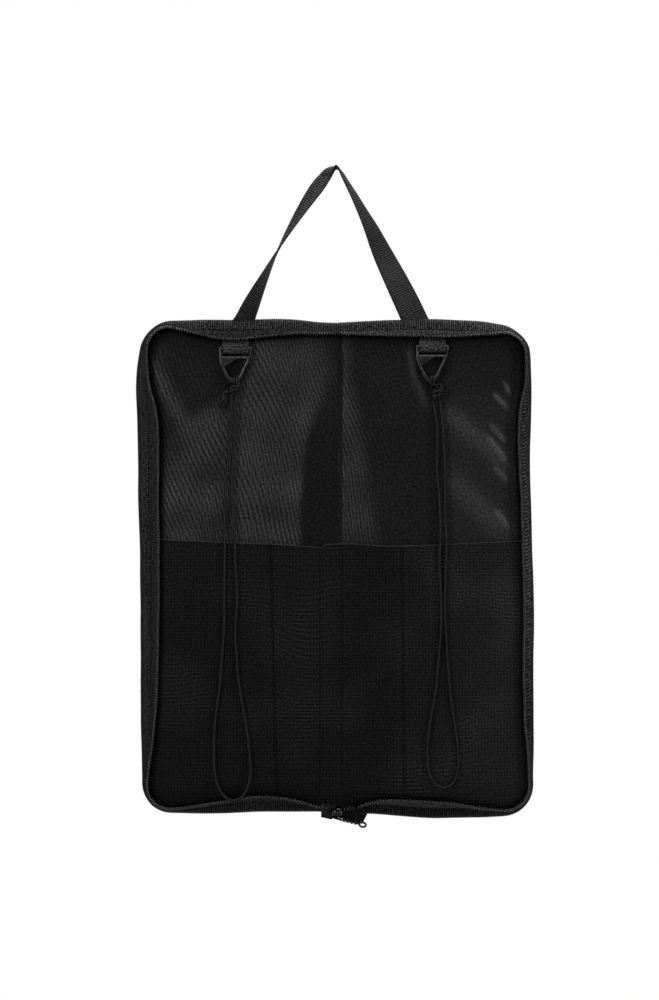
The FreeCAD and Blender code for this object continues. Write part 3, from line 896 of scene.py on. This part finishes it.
def pocket_depth(x, z, side):
    """The pocket cloth's surface: full between its seams, drawn in at the divider and the spine."""
    edge = smooth(HALF_WIDTH - 4 * MM, HALF_WIDTH - 26 * MM, x)
    full = -4.6 * MM - 0.8 * MM * hump(x, 38 * MM, 16 * MM) - 0.9 * MM * hump(x, 115 * MM, 40 * MM)
    full = full * (0.35 + 0.65 * edge)
    if side == "right":
        rise = 0.3 * smooth(0, 1.2 * MM, x - FOLD) + 0.7 * smooth(-1 * MM, 13 * MM, x - FOLD)
        low = 0.1 * MM - 0.9 * MM * (FOLD - np.minimum(x, FOLD)) / FOLD
        pleat = 0
    else:
        beyond = x - PLEAT
        rise = 0.35 * smooth(0, PLEAT, x) + 0.35 * smooth(-0.9 * MM, 0.9 * MM, beyond)
        rise = rise + 0.3 * smooth(0, 12 * MM, beyond)
        low = -0.8 * MM + 0 * x
        pleat = -0.7 * MM * hump(beyond, 1.2 * MM, 1.3 * MM) + 0.5 * MM * hump(beyond, -1.6 * MM, 1.4 * MM)
    y = low + (full - low) * rise + pleat
    y = y + 1.7 * MM * hump(x, divider_at(z, side), 3.5 * MM)
    y = y + 0.4 * MM * ripples(61 + len(side), 60 * MM)(x * 1.6, z * 0.6) * rise
    y = y + 0.2 * MM * np.sin(z / (5.2 * MM) + 3 * np.sin(z * 31)) * hump(x, divider_at(z, side), 9 * MM)
    bottom = smooth(BOTTOM + 4 * MM, BOTTOM + 30 * MM, z)
    return y * (0.3 + 0.7 * bottom) - 0.9 * MM


def pocket_columns():
    """Distances from the middle for the pocket's mesh, close together by the spine and the divider."""
    edge = HALF_WIDTH - POCKET_INSET
    runs = [(0, 26 * MM, 0.6 * MM), (26.5 * MM, 54 * MM, 1.8 * MM), (54 * MM, 68 * MM, 0.5 * MM),
            (68.5 * MM, edge, 1.8 * MM)]
    return np.concatenate([np.arange(*run) for run in runs] + [[edge]])


def pocket(side):
    """The pocket cloth of one half: it is hemmed along its mouth and sewn down at the other three sides."""
    columns = pocket_columns()
    share = np.linspace(0, 1, 120) ** 0.92
    rows = np.broadcast_to(share, (len(columns), len(share)))
    x = np.broadcast_to(columns[:, None], rows.shape)
    low = BOTTOM + POCKET_INSET
    z = low + (mouth_height(x, side) - low) * rows
    x = drawn_in(x, z, POCKET_INSET)
    y = pocket_depth(x, z, side) - 0.5 * MM * smooth(0.985, 1.0, rows)
    thick = 0.7 * MM + 0.5 * MM * smooth(0.962, 0.968, rows)
    # Painted shade beside the coil, where the rim keeps the light off, and darker along the sewn divider.
    sewn = hump(x, divider_at(z, side), 1.3 * MM)
    painted_light = (1 - 0.6 * under_rim(x, z, side)) * (1 - 0.55 * sewn)
    uv = np.stack([SIDES[side] * x, z], 2)
    obj = half_sheet(side, "pocket_cloth", cloth_grid(x, y, z, side), uv, thick, {"painted_light": painted_light})
    dress(obj, POCKET)
    across_fold(obj)
    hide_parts(f"{side}_pocket_panel", "spine_pocket_panel")


def pocket_seams(side):
    """The hem's stitches and the divider's, and the folded edge of the hem as a thin roll."""
    s = SIDES[side]
    hem_pitch, divider_pitch = 3.2 * MM, 3.4 * MM

    def on_cloth(x, z):
        y = float(pocket_depth(np.array([x]), np.array([z]), side)[0])
        return (s * x, y - 0.05 * MM, z)

    def on_hem(distance):
        x = 6 * MM + distance
        return on_cloth(x, float(mouth_height(np.array([x]), side)[0]) - 8 * MM)

    def on_divider(distance):
        z = MOUTH - 3 * MM - distance
        return on_cloth(float(divider_at(z, side)), z)

    count = int((HALF_WIDTH - 26 * MM) / hem_pitch)
    row = stitches(f"{side}_hem_stitches", on_hem, count, 2.2 * MM, hem_pitch, 0.3 * MM)
    across_fold(row)
    count = int((MOUTH - BOTTOM - 18 * MM) / divider_pitch)
    row = stitches(f"{side}_divider_stitches", on_divider, count, 2.3 * MM, divider_pitch, 0.32 * MM)
    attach(row, f"{side}_half")

    x = np.linspace(0, HALF_WIDTH - 12 * MM, 300)
    z = mouth_height(x, side)
    y = pocket_depth(x, z, side) - 0.35 * MM
    roll = new_object(f"{side}_hem_fold", *tube_mesh(np.stack([s * x, y, z], 1), 0.5 * MM, 8))
    dress(roll, HEM)
    across_fold(roll)


def shell(side):
    """The padded outside: a crowned back of heavy nylon over foam, closed at the front under the lining."""
    near, edge = 24 * MM, HALF_WIDTH - SHELL_INSET
    columns = np.concatenate([np.arange(0, near, 1.5 * MM), np.linspace(near, edge, 60)])
    rows = np.linspace(BOTTOM + SHELL_INSET, TOP - SHELL_INSET, 150)
    x, z = half_grid(columns, rows, SHELL_INSET)
    room = np.minimum(widest(z, SHELL_INSET) - x, np.minimum(TOP - z, z - BOTTOM) - SHELL_INSET)
    crown = 3.2 * MM * smooth(0, 22 * MM, room)
    seam = hump(x, SPINE, 2.2 * MM)
    soft = 0.5 * MM * ripples(71 + len(side), 90 * MM)(x, z) * smooth(0, 20 * MM, room)
    y = BACK - 0.9 * MM + crown + soft - 1.7 * MM * seam - 0.6 * MM * (1 - smooth(10 * MM, 14 * MM, x))
    front = np.maximum(lining_depth(x, z, side) + 0.9 * MM, 0.5 * MM)
    thick = np.maximum(y - front, 1.0 * MM)
    uv = np.stack([x, z], 2)
    obj = half_sheet(side, "padded_shell", cloth_grid(x, y, z, side), uv, thick, faces_back=True)
    dress(obj, SHELL)
    across_fold(obj)
    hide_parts(f"{side}_outer_panel", f"{side}_padding", "spine_outer_panel", "spine_padding")
    back_seam(side, "inner", SPINE - 2.6 * MM, x, y, rows)
    back_seam(side, "outer", SPINE + 2.6 * MM, x, y, rows)


def back_seam(side, name, column, x, y, rows):
    """A row of stitches down the back of the shell, at one distance from the middle."""
    end, pitch = 14 * MM, 3.6 * MM

    def on_back(distance):
        z = TOP - end - distance
        k = np.argmin(np.abs(rows - z))
        depth = float(np.interp(column, x[:, k], y[:, k]))
        return (SIDES[side] * column, depth + 0.45 * MM, z)

    count = int((TOP - BOTTOM - 2 * end) / pitch)
    row = stitches(f"{side}_back_seam_{name}", on_back, count, 2.5 * MM, pitch, 0.32 * MM)
    across_fold(row)


def spine_ends():
    """The end walls of the spine's gusset, behind the band where it dips between the halves."""
    for node, z, inward in (("spine_top_wall", TOP, -1), ("spine_bottom_wall", BOTTOM, 1)):
        k = np.linspace(0, 1, 8)
        x, share = np.meshgrid(np.linspace(-SPINE, SPINE, 14), k, indexing="ij")
        y = 2.5 * MM - 10.5 * MM * share
        dip = 5.2 * MM * (1 - (x / SPINE) ** 2 * 0.4) + 3.0 * MM * share
        grid = np.stack([x, y, z + inward * dip], 2)
        if inward < 0:
            grid = grid[::-1]
        obj = sheet(f"{node}_cloth", grid, np.stack([x, y], 2), 0.7 * MM)
        dress(obj, SHADED_GUSSET)
        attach(obj, "spine")
        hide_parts(node)


# ---------------------------------------------------------------- handle, tabs and rings

# The strap's middle line: x, z, depth and the angle its width is turned out of the bag's plane.
STRAP_LEFT = [
    (-90.5, -153, 1.2, 8), (-88.3, -146, 1.4, 40), (-81, -129, 0.8, 54), (-70, -106, 0, 72),
    (-58.4, -82.6, 0, 90), (-47, -62, 0, 103), (-33, -39.5, 0, 116), (-19, -19, 0, 124), (-9, -6.2, 0, 116),
    (-3.2, -1.2, 0, 102), (0, -0.2, 0, 94),
]
STRAP_RIGHT = [
    (78.3, -154, 2.2, 4), (74.6, -146.5, 1.6, 9), (66, -128, 0.8, 15), (57, -109.5, 0, 24),
    (42.8, -80.8, 0, 40), (33, -59, 0, 54), (25.2, -43.5, 0, 64), (16.5, -27, 0, 72), (9.2, -14, 0, 78),
    (4.2, -4.9, 0, 82), (0.6, -0.3, 0, 90), (-3.5, 0.6, 0, 98), (-8.5, -3.2, 0, 112), (-11.5, -7.6, 0, 120),
]
WEBBING_WIDTH = 25 * MM                 # of the handle and of the tabs
STRAP_THICK = 1.7 * MM


def webbing_strip(name, line, width, thick, rib):
    """Flat webbing along rows of (x, y, z, turn): rounded edges and ribs across it."""
    curve = catmull(line, 24)
    run = distances(curve[:, :3])
    at = np.arange(0, run[-1], rib / 4)
    p = np.stack([np.interp(at, run, curve[:, k]) for k in range(3)], 1)
    turn = np.radians(np.interp(at, run, curve[:, 3]))
    along = np.gradient(p, axis=0)
    along /= np.linalg.norm(along, axis=1, keepdims=True)
    flat = np.stack([along[:, 2], 0 * at, -along[:, 0]], 1)
    flat /= np.linalg.norm(flat, axis=1, keepdims=True)
    flat *= np.sign(flat[:, :1] + 1e-9)
    deep = np.cross(along, flat)
    deep *= np.sign(deep[:, 1:2] + 1e-9)
    wide = flat * np.cos(turn)[:, None] + deep * np.sin(turn)[:, None]
    normal = np.cross(along, wide)
    ring = [(k, math.sqrt(max(0.0, 1 - abs(k) ** 14)) * 0.9 + 0.1) for k in np.linspace(-1, 1, 13)]
    ring += [(k, -h) for k, h in reversed(ring)]
    bump = 1 + 0.16 * np.cos(2 * math.pi * at / rib)
    cup = 0.02 * width
    rows = []
    for k, h in ring:
        deep = normal * (h * thick / 2 * bump)[:, None]
        rows.append(p + wide * (k * width / 2) + deep + normal * cup * k * k)
    grid = np.stack(rows, 1)
    faces = tube_faces(*grid.shape[:2])
    v = np.array([k * width / 2 for k, _ in ring])
    uv = np.stack(np.broadcast_arrays(at[:, None], v[None, :]), 2)
    return new_object(name, grid.reshape(-1, 3), faces, uv.reshape(-1, 2))


def handle():
    """The two legs of the handle, each from its half to the apex."""
    for side, line in (("left", STRAP_LEFT), ("right", STRAP_RIGHT)):
        rows = [(x * MM, y * MM, z * MM, turn) for x, z, y, turn in line]
        obj = webbing_strip(f"{side}_handle_leg", rows, WEBBING_WIDTH, STRAP_THICK, STRAP_RIB)
        dress(obj, WEBBING)
        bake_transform(obj)
        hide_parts("handle_strap")


def joint_place(name):
    """The point that a joint turns about."""
    return Vector(next(joint for joint in frame["joints"] if joint["name"] == name)["pos_m"])


RINGS = {side: joint_place(f"{side}_ring_swing") for side in SIDES}


# The tab's legs in front of the bar and behind it: y, and height above the bar. Millimetres.
TAB_DOWN = [(-2.2, 14.5), (-4.6, 10.5), (-7.6, 6.6), (-9.8, 3.4), (-10.7, 0.2)]
TAB_BACK = [(-3.2, 0.6), (-2.4, 5), (-1.9, 10), (-1.6, 14.5)]


def tab(side):
    """The folded tab: webbing that comes out from under the tape, goes round the bar and back."""
    bar = RINGS[side]
    reach = 3.7 * MM
    down, back = ([(y * MM, bar.z + z * MM) for y, z in leg] for leg in (TAB_DOWN, TAB_BACK))
    under = []
    for a in np.radians([205, 235, 270, 305, 335]):
        under.append((bar.y + reach * math.cos(a), bar.z - 1.1 * MM + (reach + 0.4 * MM) * math.sin(a)))
    curve = catmull(down + under + back, 10)
    run = distances(curve)
    at = np.arange(0, run[-1], 0.5 * MM)
    y = np.interp(at, run, curve[:, 0])
    z = np.interp(at, run, curve[:, 1])
    half = WEBBING_WIDTH / 2
    across = np.linspace(-1, 1, 33)
    rib = 0.04 * MM * np.cos(2 * math.pi * at / (2.0 * MM))
    x = bar.x + across[:, None] * half + 0 * y[None, :]
    grid = np.stack([x, np.broadcast_to(y + rib, x.shape), np.broadcast_to(z, x.shape)], 2)[:, ::-1]
    uv = np.stack(np.broadcast_arrays(at[None, ::-1], across[:, None] * half), 2)
    obj = sheet(f"{side}_webbing_tab", grid, uv, 1.2 * MM)
    dress(obj, TAB)
    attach(obj, f"{side}_half")
    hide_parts(f"{side}_ring_tab")

    def on_tab(distance):
        return (bar.x - half + 2 * MM + distance, -8.1 * MM, bar.z + 6.7 * MM)

    row = stitches(f"{side}_tab_stitches", on_tab, 7, 2.3 * MM, 3.2 * MM, 0.33 * MM)
    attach(row, f"{side}_half")


# The ring's outline and its two openings, from the bar's middle: x, z and the corner's radius. Millimetres.
RING_OUTLINE = [(-16, 1.9, 1.5), (16, 1.9, 1.5), (14.4, -9.5, 14), (6.3, -26.9, 20), (0, -35.7, 5),
                (-8.6, -29.5, 18), (-15.6, -13.5, 18)]
RING_SLOT = [(-12.9, -1.8, 1), (12.9, -1.8, 1), (12.6, -7.3, 1), (-12.9, -7.3, 1)]
RING_BOW = [(10.9, -9.9, 1.2), (3.4, -25.6, 6), (-0.3, -29.9, 1.6), (-6.2, -26, 5), (-10.5, -17.6, 1.5),
            (0.8, -9.9, 9)]
RING_HALF_THICK = 2.3 * MM
RING_ROUND = 1.5 * MM


def rounded(corners):
    """Points round a polygon with its corners eased."""
    p = np.array(corners, float)
    out = []
    for before, here, after in zip(np.roll(p, 1, 0), p, np.roll(p, -1, 0)):
        a, b = before[:2] - here[:2], after[:2] - here[:2]
        long_a, long_b = np.hypot(*a), np.hypot(*b)
        half = math.acos(np.clip(a @ b / (long_a * long_b), -1, 1)) / 2
        reach = min(here[2] / math.tan(half), 0.48 * long_a, 0.48 * long_b)
        for t in np.linspace(0, 1, 9):
            start, end = here[:2] + a / long_a * reach, here[:2] + b / long_b * reach
            out.append((1 - t) ** 2 * start + 2 * t * (1 - t) * here[:2] + t * t * end)
    return np.array(out) * MM


def d_rings():
    """The moulded rings: a bar inside the tab, a slot, a cross bar with a web, and a bow for the cord."""
    for side, bar in RINGS.items():
        curve = bpy.data.curves.new(f"{side}_ring_outline", "CURVE")
        curve.dimensions = "2D"
        curve.fill_mode = "BOTH"
        for corners in (RING_OUTLINE, RING_SLOT, RING_BOW):
            points = rounded(corners)
            spline = curve.splines.new("POLY")
            spline.points.add(len(points) - 1)
            spline.use_cyclic_u = True
            for point, (x, z) in zip(spline.points, points):
                point.co = (x, z, 0, 1)
        curve.extrude = RING_HALF_THICK - RING_ROUND
        curve.bevel_depth = RING_ROUND
        curve.bevel_resolution = 3
        curve.offset = -RING_ROUND
        flat = placed(f"{side}_ring_outline", curve)
        made = bpy.data.meshes.new_from_object(flat.evaluated_get(bpy.context.evaluated_depsgraph_get()))
        bpy.data.objects.remove(flat)
        verts = [(bar.x + v.co.x, bar.y - v.co.z, bar.z + v.co.y) for v in made.vertices]
        obj = new_object(f"{side}_moulded_ring", verts, [list(face.vertices) for face in made.polygons])
        bpy.data.meshes.remove(made)
        dress(obj, PLASTIC)
        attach(obj, f"{side}_ring")
        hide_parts(f"{side}_d_ring")


# ---------------------------------------------------------------- cords and knots

CORD = 2.8 * MM
# x, y and z along each cord, from its knot round the loop and back. Millimetres.
CORD_ROUTES = {
    "left": [
        (-100.7, -7.4, -215.7), (-101.0, -7.4, -242), (-103.3, -7.4, -272), (-106.2, -7.4, -306),
        (-107.6, -7.8, -336), (-107.0, -8.6, -368), (-107.9, -8.6, -400), (-107.2, -8.6, -432),
        (-109.8, -8.6, -465), (-111.8, -8.6, -494), (-116.2, -8.8, -522), (-117.8, -9.2, -551),
        (-116.9, -10.4, -578), (-111.5, -11.8, -594.5), (-99.5, -12.6, -603), (-88.0, -12.2, -597),
        (-82.2, -11.0, -580), (-83.4, -9.4, -556), (-87.0, -8.8, -528), (-92.8, -8.6, -499),
        (-95.9, -8.6, -469), (-97.4, -8.6, -436), (-94.9, -8.6, -408), (-97.0, -8.6, -377),
        (-97.9, -8.0, -345), (-101.2, -7.4, -306), (-98.7, -7.4, -272), (-96.8, -7.4, -242),
        (-96.4, -7.4, -215.7),
    ],
    "right": [
        (90.6, -7.4, -222), (94.6, -7.4, -241), (94.6, -7.4, -266), (94.0, -7.4, -287),
        (96.9, -7.4, -318), (97.9, -8.2, -348), (96.6, -8.6, -378), (98.2, -8.6, -408),
        (98.7, -8.6, -438), (95.9, -8.6, -468), (93.6, -8.6, -498), (87.6, -8.6, -528),
        (84.9, -8.4, -556), (86.0, -8.4, -574), (92.0, -8.4, -586.5), (101.0, -8.4, -590.5),
        (110.0, -8.4, -586), (115.2, -8.4, -573), (114.2, -8.6, -547), (109.6, -8.6, -520),
        (105.6, -8.6, -488), (103.8, -8.6, -456), (101.9, -8.6, -424), (102.0, -8.6, -394),
        (103.7, -8.4, -362), (101.9, -7.6, -326), (102.4, -7.4, -290), (100.6, -7.4, -262),
        (99.6, -7.4, -241), (97.2, -7.4, -222),
    ],
}
KNOT_RISE = {"left": 2.5 * MM, "right": -1.0 * MM}      # of the knot's top above the ring's bow
# The two loose ends of the left cord, as steps from the knot. Millimetres.
TAILS = [
    [(-3.5, 0.8, -3), (-4.2, 0.4, -9), (-8.2, 0, -15)],
    [(-5.6, -0.6, -2), (-6.0, -1.2, -7.5), (-10.4, -0.8, -13)],
]


def tied_knot(side):
    """An overhand knot pulled tight under the ring, and the turns that hold it to the ring's bow."""
    bar = RINGS[side]
    bow = Vector((bar.x, bar.y, bar.z - 31.3 * MM))
    first, last = CORD_ROUTES[side][0], CORD_ROUTES[side][-1]
    top, bottom = bow.z + KNOT_RISE[side], first[2] * MM
    middle = Vector(((first[0] + last[0]) / 2 * MM, bar.y - 1.2 * MM, (top + bottom) / 2))
    tall = (top - bottom) / 2 - 0.4 * MM
    wide, deep = 5.4 * MM, 2.1 * MM
    turn = np.linspace(0, 2 * math.pi, 90, endpoint=False)
    x = (np.sin(turn) + 2 * np.sin(2 * turn)) / 3 * wide
    z = (np.cos(turn) - 2 * np.cos(2 * turn)) / 3 * tall
    y = -np.sin(3 * turn) * deep
    trefoil = np.stack([middle.x + x, middle.y + y, middle.z + z], 1)
    parts = [tube_mesh(trefoil, CORD / 2, 10, True)]
    round_bow = 4.2 * MM
    for offset, tilt in ((-1.5 * MM, 0.12), (1.5 * MM, -0.16)):
        centre = (bow.x + offset, bow.y, bow.z - 0.2 * MM)
        sine = (tilt * round_bow, 0, round_bow)
        parts.append(oval(centre, (0, round_bow, 0), sine, CORD / 2 * 0.96, 40, 10))
    for lift in (-0.45, -0.05):
        centre = (middle.x, middle.y, middle.z + lift * tall)
        cosine = (4.6 * MM, 0, 1.6 * MM * math.cos(lift))
        sine = (0, 2.9 * MM, -1.6 * MM * math.sin(lift))
        parts.append(oval(centre, cosine, sine, CORD / 2, 40, 10))
    if side == "left":
        start = middle + Vector((-4.0 * MM, 0, -4.5 * MM))
        for bends in TAILS:
            tail = [tuple(start)] + [tuple(start + Vector(p) * MM) for p in bends]
            path = catmull(tail, 8)
            parts.append(tube_mesh(path, CORD / 2 * (1.15 + 0.3 * np.cos(np.linspace(0, 9, len(path)))), 9))
            parts += frayed(Vector(tail[-1]), Vector(tail[-1]) - Vector(tail[-2]))
    obj = new_object(f"{side}_tied_knot", *gathered(parts))
    dress(obj, ELASTIC)
    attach(obj, f"{side}_cord")
    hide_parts(f"{side}_cord_knot")
    return obj


def frayed(end, along):
    """A tuft of loose fibres at a cut end."""
    rng = np.random.default_rng(17)
    parts = []
    along = along.normalized()
    for _ in range(14):
        lean = Vector(rng.normal(0, 0.33, 3)) + along
        length = rng.uniform(1.4, 3.0) * MM
        root = end + Vector(rng.normal(0, 0.5 * MM, 3)) - along * 0.6 * MM
        tip = root + lean * length + Vector((0, 0, -0.2 * MM))
        line = [tuple(root), tuple(root + lean * length * 0.5), tuple(tip)]
        parts.append(tube_mesh(line, [0.22 * MM, 0.18 * MM, 0.08 * MM], 5))
    return parts


def cord(side, tied):
    """One elastic cord: a smooth spline along its route, from the knot round and back to it."""
    curve = bpy.data.curves.new(f"{side}_elastic_cord", "CURVE")
    curve.dimensions = "3D"
    spline = curve.splines.new("NURBS")
    route = CORD_ROUTES[side]
    spline.points.add(len(route) - 1)
    for point, place in zip(spline.points, route):
        point.co = (*(k * MM for k in place), 1)
    spline.order_u = 3
    spline.use_endpoint_u = True
    spline.resolution_u = 10
    curve.bevel_depth = CORD / 2
    curve.bevel_resolution = 3
    curve.use_fill_caps = True
    obj = placed(f"{side}_elastic_cord", curve)
    dress(obj, ELASTIC)
    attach(obj, f"{side}_cord")
    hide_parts(f"{side}_cord")


# ---------------------------------------------------------------- slider, pull and tape ends

def rounded_box(low, high, width):
    """Vertices and faces of a box with its edges rounded."""
    mesh = bmesh.new()
    bmesh.ops.create_cube(mesh, size=1.0)
    middle, size = (Vector(low) + Vector(high)) / 2, Vector(high) - Vector(low)
    for vert in mesh.verts:
        vert.co = Vector(m + v * k for m, v, k in zip(middle, vert.co, size))
    bmesh.ops.bevel(mesh, geom=mesh.edges[:], offset=width, segments=3, affect="EDGES")
    verts = np.array([tuple(vert.co) for vert in mesh.verts])
    faces = [[vert.index for vert in face.verts] for face in mesh.faces]
    mesh.free()
    return verts, faces


def zip_slider():
    """The slider: two plates joined by a post, their edges turned in, and an arched bridge for the pull."""
    low, high = (Vector(p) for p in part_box("zip_slider"))
    back = high.y
    plate, lip, gap = 1.3 * MM, 1.1 * MM, 5.2 * MM
    left, right = low.x + 0.5 * MM, high.x - 3.5 * MM
    bottom, top = low.z + 3.0 * MM, high.z - 2.2 * MM
    middle = (bottom + top) / 2
    parts = []
    for depth in (back - plate, back - 5.6 * MM):
        parts.append(rounded_box((left, depth, bottom), (right, depth + plate, top), 0.5 * MM))
        for z in (bottom, top - lip):
            corner = (right, depth + 1.9 * MM, z + lip)
            parts.append(rounded_box((left + 2 * MM, depth - 0.6 * MM, z), corner, 0.4 * MM))
    corner = (left + 3.4 * MM, back - 0.6 * MM, middle + 1.3 * MM)
    parts.append(rounded_box((left + 0.6 * MM, back - gap, middle - 1.3 * MM), corner, 0.4 * MM))
    foot, bend, crest = back - gap, back - 7.4 * MM, back - 8.9 * MM
    arch = [(left + 1.6 * MM, foot), (left + 1.4 * MM, bend), (left + 3.6 * MM, crest),
            (right - 4.2 * MM, crest), (right - 1.8 * MM, bend), (right - 1.6 * MM, foot)]
    for z in (middle - 1.0 * MM, middle, middle + 1.0 * MM):
        parts.append(tube_mesh(catmull([(x, y, z) for x, y in arch], 8), 0.75 * MM, 8))
    obj = new_object("slider_body", *gathered(parts))
    dress(obj, METAL)
    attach(obj, "zip_slider")
    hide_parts("zip_slider")


def zip_pull():
    """The pull: an eye on the slider's bridge, a ridged stem and an oval ring at its end."""
    pivot = joint_place("zip_pull_swing")
    slope = math.radians(-13)
    ahead = Vector((math.cos(slope), 0, math.sin(slope)))
    up = Vector((-ahead.z, 0, ahead.x))
    eye = oval(pivot + ahead * 3.0 * MM, ahead * 3.6 * MM, (0, 2.6 * MM, 0), 0.7 * MM, 36, 8)
    at = np.linspace(5.5 * MM, 24.4 * MM, 110)
    ridge = 1.35 * MM + 0.5 * MM * np.cos(2 * math.pi * (at - at[0]) / (3.8 * MM))
    stem = tube_mesh([tuple(pivot + ahead * k) for k in at], ridge, 12)
    sine = up * 2.0 * MM + Vector((0, 1.4 * MM, 0))
    ring = oval(pivot + ahead * 27.4 * MM, ahead * 3.1 * MM, sine, 1.0 * MM, 40, 8)
    parts = [eye, stem, ring]
    obj = new_object("pull_tag", *gathered(parts))
    dress(obj, METAL)
    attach(obj, "zip_pull")
    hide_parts("zip_pull")


# The corners of the tapes' free ends, x and z, from the top beside the slider round by the tip. Millimetres.
TAPE_ENDS = {
    "left": [(-1, -606), (-5.5, -619.6), (-15.5, -617.3), (-15.2, -604)],
    "right": [(3, -604), (5, -620.6), (23.5, -623.6), (30, -610.5)],
}
# Painted shade on each tape end, deeper on the right one.
TAPE_END_PAINTED_SHADE = {"left": 0.9, "right": 0.45}


def tape_ends():
    """The free ends of the tapes, hanging a little below the bag at each side of the slider."""
    for side, corners in TAPE_ENDS.items():
        near_top, near_tip, far_tip, far_top = (np.array(p) * MM for p in corners)
        u, v = np.meshgrid(np.linspace(0, 1, 26), np.linspace(0, 1, 20), indexing="ij")
        out, up = u[..., None], v[..., None]
        flat = (1 - out) * ((1 - up) * near_tip + up * near_top) + out * ((1 - up) * far_tip + up * far_top)
        if side == "left":
            flat = flat[::-1]
        y = -12.4 * MM + 1.1 * MM * np.sin(3.0 * u + 1.3 * v) + 0.8 * MM * (1 - v)
        grid = np.stack([flat[..., 0], y, flat[..., 1]], 2)
        obj = sheet(f"{side}_tape_end", grid, flat, 0.6 * MM)
        paint(obj, "painted_light", np.full(y.shape, TAPE_END_PAINTED_SHADE[side]))
        dress(obj, TAPE)
        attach(obj, "spine")
        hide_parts("zip_tape_ends")


def top_stops():
    """The two crimped stops at the top ends of the chains."""
    for side, s in SIDES.items():
        rim = RIMS[side]
        t = np.array([1.6 * MM])
        place = rim.points(t, rim.at(rim.coil, t) + 0.7 * MM, np.array([CHAIN_DEPTH]))[0]
        middle = Vector((s * place[0], place[1], place[2]))
        half = Vector((1.4, 1.3, 1.7)) * MM
        obj = new_object(f"{side}_top_stop", *rounded_box(middle - half, middle + half, 0.6 * MM))
        dress(obj, METAL)
        across_fold(obj)
        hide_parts(f"{side}_zip_stop")


# ---------------------------------------------------------------- light, floor and camera

# Each soft light's place, power in watts, width and height.
SOFTBOXES = {
    "left_softbox": ((-0.95, -1.0, 0.2), 40, (0.36, 1.25)),
    "right_softbox": ((1.1, -0.66, 0.1), 31, (0.3, 1.1)),
    "top_softbox": ((0.1, -0.45, 1.0), 46, (0.6, 0.6)),
    "back_softbox": ((0.0, 0.75, 1.3), 50, (0.9, 0.6)),
}
AIM = Vector((0, 0, -0.38))             # the point they all face
FLOOR_LEVEL = -1.0


def studio():
    """A white world, soft lights from both sides, above and behind, and a pale floor well below the bag."""
    scene = bpy.context.scene
    scene.view_settings.view_transform = "Standard"
    scene.world = bpy.data.worlds.new("studio")
    scene.world.use_nodes = True
    background = scene.world.node_tree.nodes["Background"].inputs
    background["Color"].default_value = (1, 1, 1, 1)
    background["Strength"].default_value = 1.0
    for name, (place, power, size) in SOFTBOXES.items():
        light = bpy.data.lights.new(name, "AREA")
        light.energy = power
        light.shape = "RECTANGLE"
        light.size, light.size_y = size
        lamp = placed(name, light)
        lamp.location = place
        lamp.rotation_euler = (AIM - Vector(place)).to_track_quat("-Z", "Y").to_euler()

    mesh = bmesh.new()
    bmesh.ops.create_circle(mesh, cap_ends=True, segments=96, radius=1.3)
    data = bpy.data.meshes.new("floor")
    mesh.to_mesh(data)
    mesh.free()
    c = Cloth("floor", rough=0.8, specular=0.2)
    vector = c.place()
    pale = c.finish((0.86, 0.86, 0.86), vector.noise(3).span(0.3, 0.7, 0.97, 1.0), vector.noise(80), 0.1 * MM)
    data.materials.append(pale)
    floor = placed("floor", data)
    floor.location = (0, 0, FLOOR_LEVEL)


def camera():
    """Square on to the bag, from far enough away that it is drawn nearly without perspective."""
    view_height = 0.95
    distance = 3.2
    centre = Vector((-7.6 * MM, -6 * MM, -316.4 * MM))
    data = bpy.data.cameras.new("camera")
    data.sensor_fit = "VERTICAL"
    data.sensor_height = 36
    data.lens = data.sensor_height * distance / view_height
    data.clip_end = 50
    obj = placed("camera", data)
    obj.location = centre - Vector((0, distance, 0))
    obj.rotation_euler = (math.pi / 2, 0, 0)
    bpy.context.scene.camera = obj


camera()
studio()
for side in SIDES:
    cord(side, tied_knot(side))
for side in SIDES:
    for part in (shell, lining, pocket, pocket_seams, edge_band, zip_tape, zip_coil, band_stitches, tab):
        part(side)
spine_ends()
handle()
d_rings()
zip_slider()
zip_pull()
tape_ends()
top_stops()
